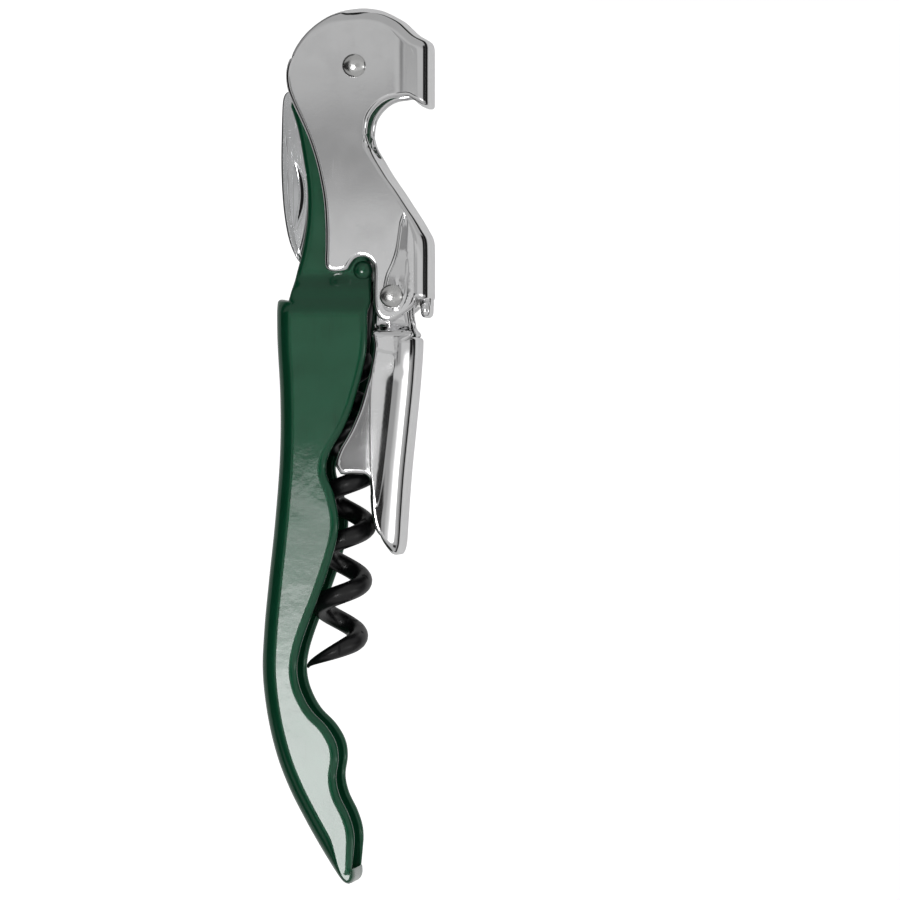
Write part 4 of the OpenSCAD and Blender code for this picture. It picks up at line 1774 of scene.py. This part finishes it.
@dataclass
class Worm:
    """The black worm: an eye on its pin, a shank and nearly six turns.

    lean is how far it is turned about its pin, in degrees, to lie along the handle.
    """

    bench: Bench
    lean: float = -4.3
    eye_r: float = 2.15
    eye_wire: float = 1.2

    def eye(self) -> Shell:
        """The ring of wire round the pin.

        Returns:
            The closed shell.
        """
        around, across = 48, 18
        points, faces = [], []
        for i in range(around):
            a = 2 * math.pi * i / around
            for k in range(across):
                b = 2 * math.pi * k / across
                r = self.eye_r + self.eye_wire * math.cos(b)
                points.append((r * math.cos(a), r * math.sin(a), self.eye_wire * math.sin(b)))
                j, m = (i + 1) % around, (k + 1) % across
                faces.append((i * across + k, j * across + k, j * across + m, i * across + m))
        return Shell(np.array(points), faces, np.zeros(len(points)))

    def build(self) -> None:
        """Winds the wire, joins the eye to it and sets both on the pin."""
        wire = WormWire().grown(self.eye(), self.bench.finishes.by_slot[Slot.COATING])
        whole = Shell.joined([wire, self.eye()])
        a = math.radians(self.lean)
        spin = np.array([[math.cos(a), math.sin(a), 0], [-math.sin(a), math.cos(a), 0], [0, 0, 1]])
        whole.points = whole.points @ spin
        whole = whole.moved(self.bench.pivot("worm_pin"))
        self.bench.make("worm_wound", whole, Body.WORM, Slot.COATING, "worm")


# --- The foil knife ---


class Scalloped(GrownShape):
    """Bites a row of round scallops into the blade's edge."""

    name = "scalloped_edge"
    sizes = {"Start": 13.75, "Pitch": 1.7, "Count": 6.0, "Radius": 0.9, "Outside": 0.54}

    def tree(self, material: bpy.types.Material) -> bpy.types.NodeTree:
        """Moves the points near the edge in, by an arc for each scallop.

        Args:
            material: What the shape is finished with.

        Returns:
            The tree.
        """
        w, given, out = self.started()
        get = given.outputs
        place = w.split(w.node("GeometryNodeInputPosition").outputs[0])
        along = w.math("SUBTRACT", w.math("MULTIPLY", place["Y"], -1.0), get["Start"])
        number = w.math("DIVIDE", along, get["Pitch"])
        across = w.math("MULTIPLY", w.math("SUBTRACT", w.math("FRACT", number), 0.5), get["Pitch"])
        reach = w.math("SUBTRACT", w.math("POWER", get["Radius"], 2.0), w.math("POWER", across, 2.0))
        bite = w.math("SUBTRACT", w.math("SQRT", w.math("MAXIMUM", reach, 0.0)), get["Outside"])
        bite = w.math("MAXIMUM", bite, 0.0)
        bite = w.math("MULTIPLY", bite, w.math("GREATER_THAN", number, 0.0))
        bite = w.math("MULTIPLY", bite, w.math("LESS_THAN", number, get["Count"]))
        near = w.node("GeometryNodeInputNamedAttribute", data_type="FLOAT")
        near.inputs["Name"].default_value = "edge_share"
        bite = w.math("MULTIPLY", bite, near.outputs["Attribute"])
        moved = w.node("GeometryNodeSetPosition")
        w.feed(moved.inputs["Geometry"], get["Geometry"])
        w.feed(moved.inputs["Offset"], w.vector(X=w.math("MULTIPLY", bite, -1.0)))
        return self.ended(w, out, moved.outputs["Geometry"], material)


@dataclass
class FoilKnife:
    """The foil blade: ground hollow, with a scalloped edge and a nail nick.

    heel is the inner and the outer radius of the ring round the rivet. back and edge are the
    blade's two sides from the ring to the tip.
    """

    bench: Bench
    half: float = 0.8
    rows: int = 170
    columns: int = 44
    heel: tuple[float, float] = (1.35, 3.1)
    back: Pairs = (
        (-1.6, 2.65), (-4.2, 1.6), (-6.5, 0.3), (-7.35, -1.1), (-7.6, -2.2), (-8.1, -2.95),
        (-9.2, -3.2), (-10.15, -3.55), (-10.6, -4.9),
        (-10.75, -9), (-10.8, -13.5), (-10.65, -17.5), (-10.3, -21), (-9.65, -24.2), (-8.65, -26.5),
        (-7.45, -28.0),
    )
    edge: Pairs = (
        (-1.5, -2.7), (-2.4, -4.0), (-3.6, -5.5), (-5.1, -7.0), (-6.3, -8.4), (-6.65, -9.6), (-6.2, -11.2),
        (-5.3, -13.5), (-5.0, -17), (-5.1, -20.5), (-5.5, -24), (-6.3, -26.6), (-7.35, -28.0),
    )
    nick: Pairs = (
        (-8.98, -12.9), (-8.4, -13.7), (-7.75, -15.2), (-7.45, -17.3), (-7.6, -19.3), (-8.2, -21.2),
        (-8.9, -22.6), (-9.05, -21.0), (-9.1, -17.0),
    )

    def height(self, at: np.ndarray, from_back: np.ndarray, from_edge: np.ndarray) -> np.ndarray:
        """The blade's upper face.

        Args:
            at: The points.
            from_back: How far each is from the back.
            from_edge: How far each is from the cutting edge.

        Returns:
            Their heights.
        """
        blade = soft((-at[:, 1] - 9.0) / 3.0)
        ground = np.clip(from_edge / 2.4, 0, 1)
        z = self.half * (1 - 0.84 * blade * (1 - ground) ** 1.5)
        z -= 0.12 * np.clip(1 - from_back / 0.25, 0, 1) ** 2
        z -= 0.035 * np.exp(-(((from_back - 0.75) / 0.12) ** 2)) * blade
        nick = closed(self.nick, 0.2)[:-1]
        return z - 0.14 * soft(depth_in(at, nick) / 0.8)

    def blade(self) -> tuple[Shell, np.ndarray]:
        """The blade with a straight edge, and each point's share in the edge.

        Returns:
            The closed shell, and each point's share.
        """
        back = spaced(through(self.back, 0.1), self.rows)[:, None]
        edge = spaced(through(self.edge, 0.1), self.rows)[:, None]
        n = self.columns
        t = np.linspace(0, 1, n + 1)
        t = (0.5 * t + 0.25 * (1 - np.cos(math.pi * t)))[None, :, None]
        flat = back * (1 - t) + edge * t
        width = np.linalg.norm(edge - back, axis=2)
        share = np.broadcast_to(t[..., 0], flat.shape[:2]).ravel()
        wide = np.broadcast_to(width, flat.shape[:2]).ravel()
        flat = flat.reshape(-1, 2)
        z = self.height(flat, share * wide, (1 - share) * wide)
        count = len(flat)
        points = np.vstack([np.column_stack([flat, z]), np.column_stack([flat, -z])])
        faces = []

        def at(i: int, k: int) -> int:
            """The point in row i and column k."""
            return i * (n + 1) + k

        for i in range(self.rows):
            for k in range(n):
                face = (at(i, k), at(i + 1, k), at(i + 1, k + 1), at(i, k + 1))
                faces += [face, tuple(q + count for q in reversed(face))]
        border = [at(i, 0) for i in range(self.rows)] + [at(self.rows, k) for k in range(n)]
        border += [at(i, n) for i in range(self.rows, 0, -1)] + [at(0, k) for k in range(n, 0, -1)]
        for a, b in zip(border, border[1:] + border[:1]):
            faces.append((b, a, a + count, b + count))
        near = soft((share - 0.72) / 0.28)
        return Shell(points, faces, np.zeros(2 * count)), np.concatenate([near, near])

    def eye(self) -> Shell:
        """The ring round the rivet.

        Returns:
            The closed shell.
        """
        low, high = self.heel
        points, faces, steps = [], [], 56
        for k in range(steps):
            a = 2 * math.pi * k / steps
            for r, z in ((low, -1), (high, -1), (high, 1), (low, 1)):
                points.append((r * math.cos(a), r * math.sin(a), z * self.half))
            j = (k + 1) % steps
            for c in range(4):
                d = (c + 1) % 4
                faces.append((4 * k + d, 4 * j + d, 4 * j + c, 4 * k + c))
        return Shell(np.array(points), faces, np.zeros(len(points)))

    def build(self) -> None:
        """Builds the blade, bites its scallops and joins the eye."""
        shell, near = self.blade()
        steel = self.bench.finishes.by_slot[Slot.BLADE]
        bitten = Scalloped().grown(shell, steel, edge_share=near)
        whole = Shell.joined([bitten, self.eye()])
        piece = self.bench.make("foil_blade", whole, Body.KNIFE, Slot.BLADE, "foil_knife")
        sharpen(piece, 38)


def sharpen(piece: bpy.types.Object, degrees: float) -> None:
    """Keeps a piece's edges crisp where its faces meet at more than so many degrees.

    Args:
        piece: The piece.
        degrees: The least angle that stays crisp.
    """
    bm = bmesh.new()
    bm.from_mesh(piece.data)
    for e in bm.edges:
        if len(e.link_faces) == 2:
            e.smooth = e.calc_face_angle(0.0) < math.radians(degrees)
    bm.to_mesh(piece.data)
    bm.free()


# --- The inner pieces, the studio and the camera ---


@dataclass
class InnerPieces:
    """The plain turned and pressed pieces inside, which keep their shapes."""

    bench: Bench
    names: tuple[str, ...] = ("worm_pin", "worm_spacers", "knife_spacers", "lever_spacer", "lever_spring")

    def build(self) -> None:
        """Gives each its finish."""
        for name in self.names:
            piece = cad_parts[name]
            for slot in piece.material_slots:
                slot.material = self.bench.finishes.by_slot[Slot.INNER]
            log.info("%s: kept, in inner steel", name)


@dataclass
class Table:
    """The pale table that the tool lies on: white to the camera, dimmer in reflections.

    Its light on the tool is glow. That ends between the two X places in edge, where the
    table also turns dark, and falls to left_share of itself between those in left. A far
    glow of its own starts between those in far and ends along the tool between those in
    far_end. Places are in metres.
    """

    half: float = 1.6
    glow: float = 0.30
    edge: tuple[float, float] = (0.022, 0.034)
    left: tuple[float, float] = (-0.032, -0.02)
    left_share: float = 0.45
    far: tuple[float, float] = (0.05, 0.09)
    far_end: tuple[float, float] = (0.005, 0.015)
    far_glow: float = 0.22
    pale: Colour = (0.60, 0.60, 0.60, 1)
    paler: Colour = (0.64, 0.64, 0.64, 1)
    dark: Colour = (0.03, 0.03, 0.03, 1)

    def surface(self) -> bpy.types.Material:
        """The table's material.

        Returns:
            The material.
        """
        surface = Surface("pale_table")
        w = surface.w
        across, along, _ = w.split(surface.at)
        beyond = w.slope(across, *self.edge)
        shade = w.blend(w.noise(surface.at, 14.0, 4.0), self.pale, self.paler)
        shade = w.blend(beyond, shade, self.dark)
        surface.set(Base_Color=shade, Roughness=0.9, Specular_IOR_Level=0.0)
        near = w.math("MULTIPLY_ADD", beyond, -self.glow, self.glow)
        near = w.math("MULTIPLY", near, w.slope(across, *self.left, self.left_share, 1.0))
        far = w.slope(across, *self.far, 0.0, self.far_glow)
        far = w.math("MULTIPLY", far, w.slope(along, *self.far_end, 1.0, 0.0))
        seen = w.node("ShaderNodeLightPath").outputs["Is Camera Ray"]
        glow = w.math("MAXIMUM", seen, w.math("ADD", near, far))
        surface.set(Emission_Color=(1.0, 1.0, 1.0, 1), Emission_Strength=glow)
        return surface.material

    def build(self) -> None:
        """Lays the table under the tool."""
        mesh = bpy.data.meshes.new("table_top")
        s = self.half
        mesh.from_pydata([(-s, -s, 0), (s, -s, 0), (s, s, 0), (-s, s, 0)], [], [(0, 1, 2, 3)])
        mesh.materials.append(self.surface())
        table = bpy.data.objects.new("table_top", mesh)
        bpy.context.collection.objects.link(table)
        table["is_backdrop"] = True


@dataclass(frozen=True)
class Patch:
    """A patch of the sky and its brightness.

    across and along are its start, its end and how soft each of them is, as slopes from
    straight up: 0.1 is a tenth of the way out for the whole way up.
    """

    across: Span
    along: Span
    level: float


LEFT_GREY: Span = (-0.31, -0.17, 0.015, 0.012)
LEFT_WHITE: Span = (-0.22, -0.112, 0.02, 0.006)


@dataclass
class Sky:
    """What the bright metal mirrors: a grey ceiling with patches, and dark walls.

    The patches are laid one over another in their order. greys come first, then the lamp
    on the right, then the whites, which get brighter in steps, and then the marks.
    """

    ceiling: float = 0.56
    greys: tuple[Patch, ...] = (
        Patch((-0.19, -0.06, 0.02, 0.02), (0.0368, 0.0512, 0.0028, 0.0008), 0.27),
        Patch(LEFT_GREY, (-0.04, 0.052, 0.01, 0.002), 0.23),
        Patch(LEFT_GREY, (-0.04, 0.014, 0.01, 0.006), 0.17),
        Patch((0.05, 0.40, 0.03, 0.08), (-0.06, 0.03, 0.02, 0.01), 0.33),
    )
    whites: tuple[Patch, ...] = (
        Patch(LEFT_WHITE, (-0.15, -0.0125, 0.03, 0.0015), 4.6),
        Patch(LEFT_WHITE, (-0.15, -0.031, 0.03, 0.002), 9.0),
        Patch(LEFT_WHITE, (-0.15, -0.042, 0.03, 0.003), 14.5),
    )
    marks: tuple[Patch, ...] = (
        Patch((-0.042, 0.12, 0.012, 0.05), (-0.06, 0.012, 0.02, 0.003), 0.02),
        Patch((-0.04, 0.05, 0.01, 0.02), (0.024, 0.046, 0.004, 0.004), 0.28),
        Patch((0.03, 0.40, 0.02, 0.08), (0.0495, 0.2, 0.002, 0.05), 0.38),
        Patch((-0.018, 0.018, 0.014, 0.014), (0.0495, 0.2, 0.002, 0.05), 0.22),
    )
    lamp: float = 2.2
    wall: float = 0.012
    low_wall: float = 0.015
    seen: float = 0.9

    def overhead(self, w: Wiring, u: Value, v: Value, side: Value) -> Value:
        """The ceiling and its patches.

        Args:
            w: The world's wiring.
            u: The slope across the tool.
            v: The slope along it.
            side: How far along the tool a direction goes for each step to the right.

        Returns:
            The brightness.
        """
        level = w.between(w.slope(v, 0.0475, 0.0515), self.ceiling, 0.49)
        level = w.between(w.slope(v, 0.25, 0.6), level, 0.40)
        level = w.between(w.slope(v, -0.5, -0.25, 1.0, 0.0), level, 0.42)
        level = self.patched(w, level, self.greys, u, v)
        right = w.band(u, (0.85, 2.3, 0.35, 0.5))
        lamp = w.math("MULTIPLY", right, w.band(side, (-0.18, -0.05, 0.03, 0.03)))
        level = w.between(lamp, level, self.lamp)
        return self.patched(w, level, self.whites + self.marks, u, v)

    @staticmethod
    def patched(w: Wiring, level: Value, patches: Sequence[Patch], u: Value, v: Value) -> Value:
        """Lays patches over a brightness.

        Args:
            w: The world's wiring.
            level: The brightness so far.
            patches: The patches, in order.
            u: The slope across the tool.
            v: The slope along it.

        Returns:
            The brightness.
        """
        for patch in patches:
            share = w.math("MULTIPLY", w.band(u, patch.across), w.band(v, patch.along))
            level = w.between(share, level, patch.level)
        return level

    def walls(
        self, w: Wiring, level: Value, look: Sequence[Value], u: Value, v: Value, side: Value
    ) -> Value:
        """The dark walls, the paler gap low on the right, and what is below the horizon.

        Args:
            w: The world's wiring.
            level: The brightness so far.
            look: The direction's X, Y and Z.
            u: The slope across the tool.
            v: The slope along it.
            side: How far along the tool a direction goes for each step to the right.

        Returns:
            The brightness.
        """
        x, y, z = look
        aside = w.math("MULTIPLY", w.slope(w.math("ABSOLUTE", v), 0.35, 0.55), w.slope(z, 0.33, 0.45))
        left = w.math("MULTIPLY_ADD", aside, -0.88, 1.0)
        left = w.math("MULTIPLY", w.slope(u, -0.52, -0.36, 1.0, 0.0), left)
        level = w.between(left, level, self.wall)
        across = w.math("ABSOLUTE", x)
        low = w.math("MULTIPLY", w.slope(z, 0.30, 0.44, 1.0, 0.0), w.slope(across, 0.55, 0.8))
        facing = w.math("DIVIDE", w.math("ABSOLUTE", y), w.math("MAXIMUM", across, 0.01))
        low = w.math("MULTIPLY", low, w.slope(facing, 0.35, 0.5, 1.0, 0.0))
        gap = w.band(side, (-0.25, -0.06, 0.03, 0.02))
        low = w.math("MULTIPLY", low, w.slope(gap, 0.0, 1.0, 1.0, 0.0))
        level = w.between(low, level, self.low_wall)
        flat = w.math("MULTIPLY", w.slope(z, 0.10, 0.26, 1.0, 0.0), gap)
        level = w.between(w.math("MULTIPLY", flat, w.slope(x, 0.55, 0.8)), level, 0.45)
        level = w.between(w.math("MULTIPLY", flat, w.slope(z, 0.0, 0.1, 1.0, 0.0)), level, 0.28)
        return w.between(w.slope(z, -0.02, 0.02, 1.0, 0.0), level, 0.6)

    def build(self) -> None:
        """Makes the world."""
        world = bpy.data.worlds.new("studio")
        bpy.context.scene.world = world
        world.use_nodes = True
        w = Wiring(world.node_tree)
        w.tree.nodes.clear()
        look = w.node("ShaderNodeTexCoord").outputs["Generated"]
        x, y, z = w.split(look)
        up = w.math("MAXIMUM", z, 0.02)
        wobble = w.math("MULTIPLY", w.math("SUBTRACT", w.noise(look, 40.0, 3.0), 0.5), 0.012)
        u = w.math("DIVIDE", x, up)
        v = w.math("ADD", w.math("DIVIDE", y, up), wobble)
        side = w.math("DIVIDE", y, w.math("MAXIMUM", x, 0.01))
        level = self.overhead(w, u, v, side)
        level = self.walls(w, level, (x, y, z), u, v, side)
        seen = w.node("ShaderNodeLightPath").outputs["Is Camera Ray"]
        level = w.between(seen, level, self.seen)
        shine = w.node("ShaderNodeBackground")
        w.feed(shine.inputs["Strength"], level)
        shine.inputs["Color"].default_value = (1.0, 1.0, 1.0, 1)
        end = w.node("ShaderNodeOutputWorld")
        w.feed(end.inputs["Surface"], shine.outputs[0])


@dataclass
class Studio:
    """The table, the sky and the camera, high above the tool and a little to its open side.

    tilt is in degrees, and reach, across and aim are in metres: how far off the camera is,
    how wide its picture is there, and where it looks from the middle of the tool.
    """

    tilt: float = 6.1
    reach: float = 0.95
    across: float = 0.1243
    aim: tuple[float, float] = (0.01476, -0.00055)
    sensor: float = 36

    def camera(self) -> None:
        """Sets up the camera."""
        low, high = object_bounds()
        middle = (np.array(low) + np.array(high)) / 2
        target = Vector((middle[0] + self.aim[0], middle[1] + self.aim[1], float(high[2])))
        tilt = math.radians(self.tilt)
        data = bpy.data.cameras.new("camera")
        data.sensor_width = self.sensor
        data.lens = self.sensor * self.reach / self.across
        data.clip_start, data.clip_end = 0.01, 20
        camera = bpy.data.objects.new("camera", data)
        bpy.context.collection.objects.link(camera)
        camera.location = target + Vector((math.sin(tilt), 0, math.cos(tilt))) * self.reach
        camera.rotation_euler = (0, tilt, 0)
        bpy.context.scene.camera = camera

    def build(self) -> None:
        """Sets up the studio."""
        Table().build()
        Sky().build()
        self.camera()
        view = bpy.context.scene.view_settings
        view.view_transform = "Standard"
        view.look = "None"
        view.exposure = 0.0
        view.gamma = 1.0
        log.info("table, sky and camera: set up")


def main() -> None:
    """Builds every piece in order."""
    logging.basicConfig(level=logging.INFO, format="%(name)s: %(message)s")
    bench = Bench(Finishes())
    handle = Handle(bench)
    for part in (
        handle, UpperLever(bench), LowerLever(bench, handle), Rivets(bench), Worm(bench), FoilKnife(bench),
        InnerPieces(bench), Studio(),
    ):
        part.build()
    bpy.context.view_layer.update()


if __name__ == "__main__":
    main()
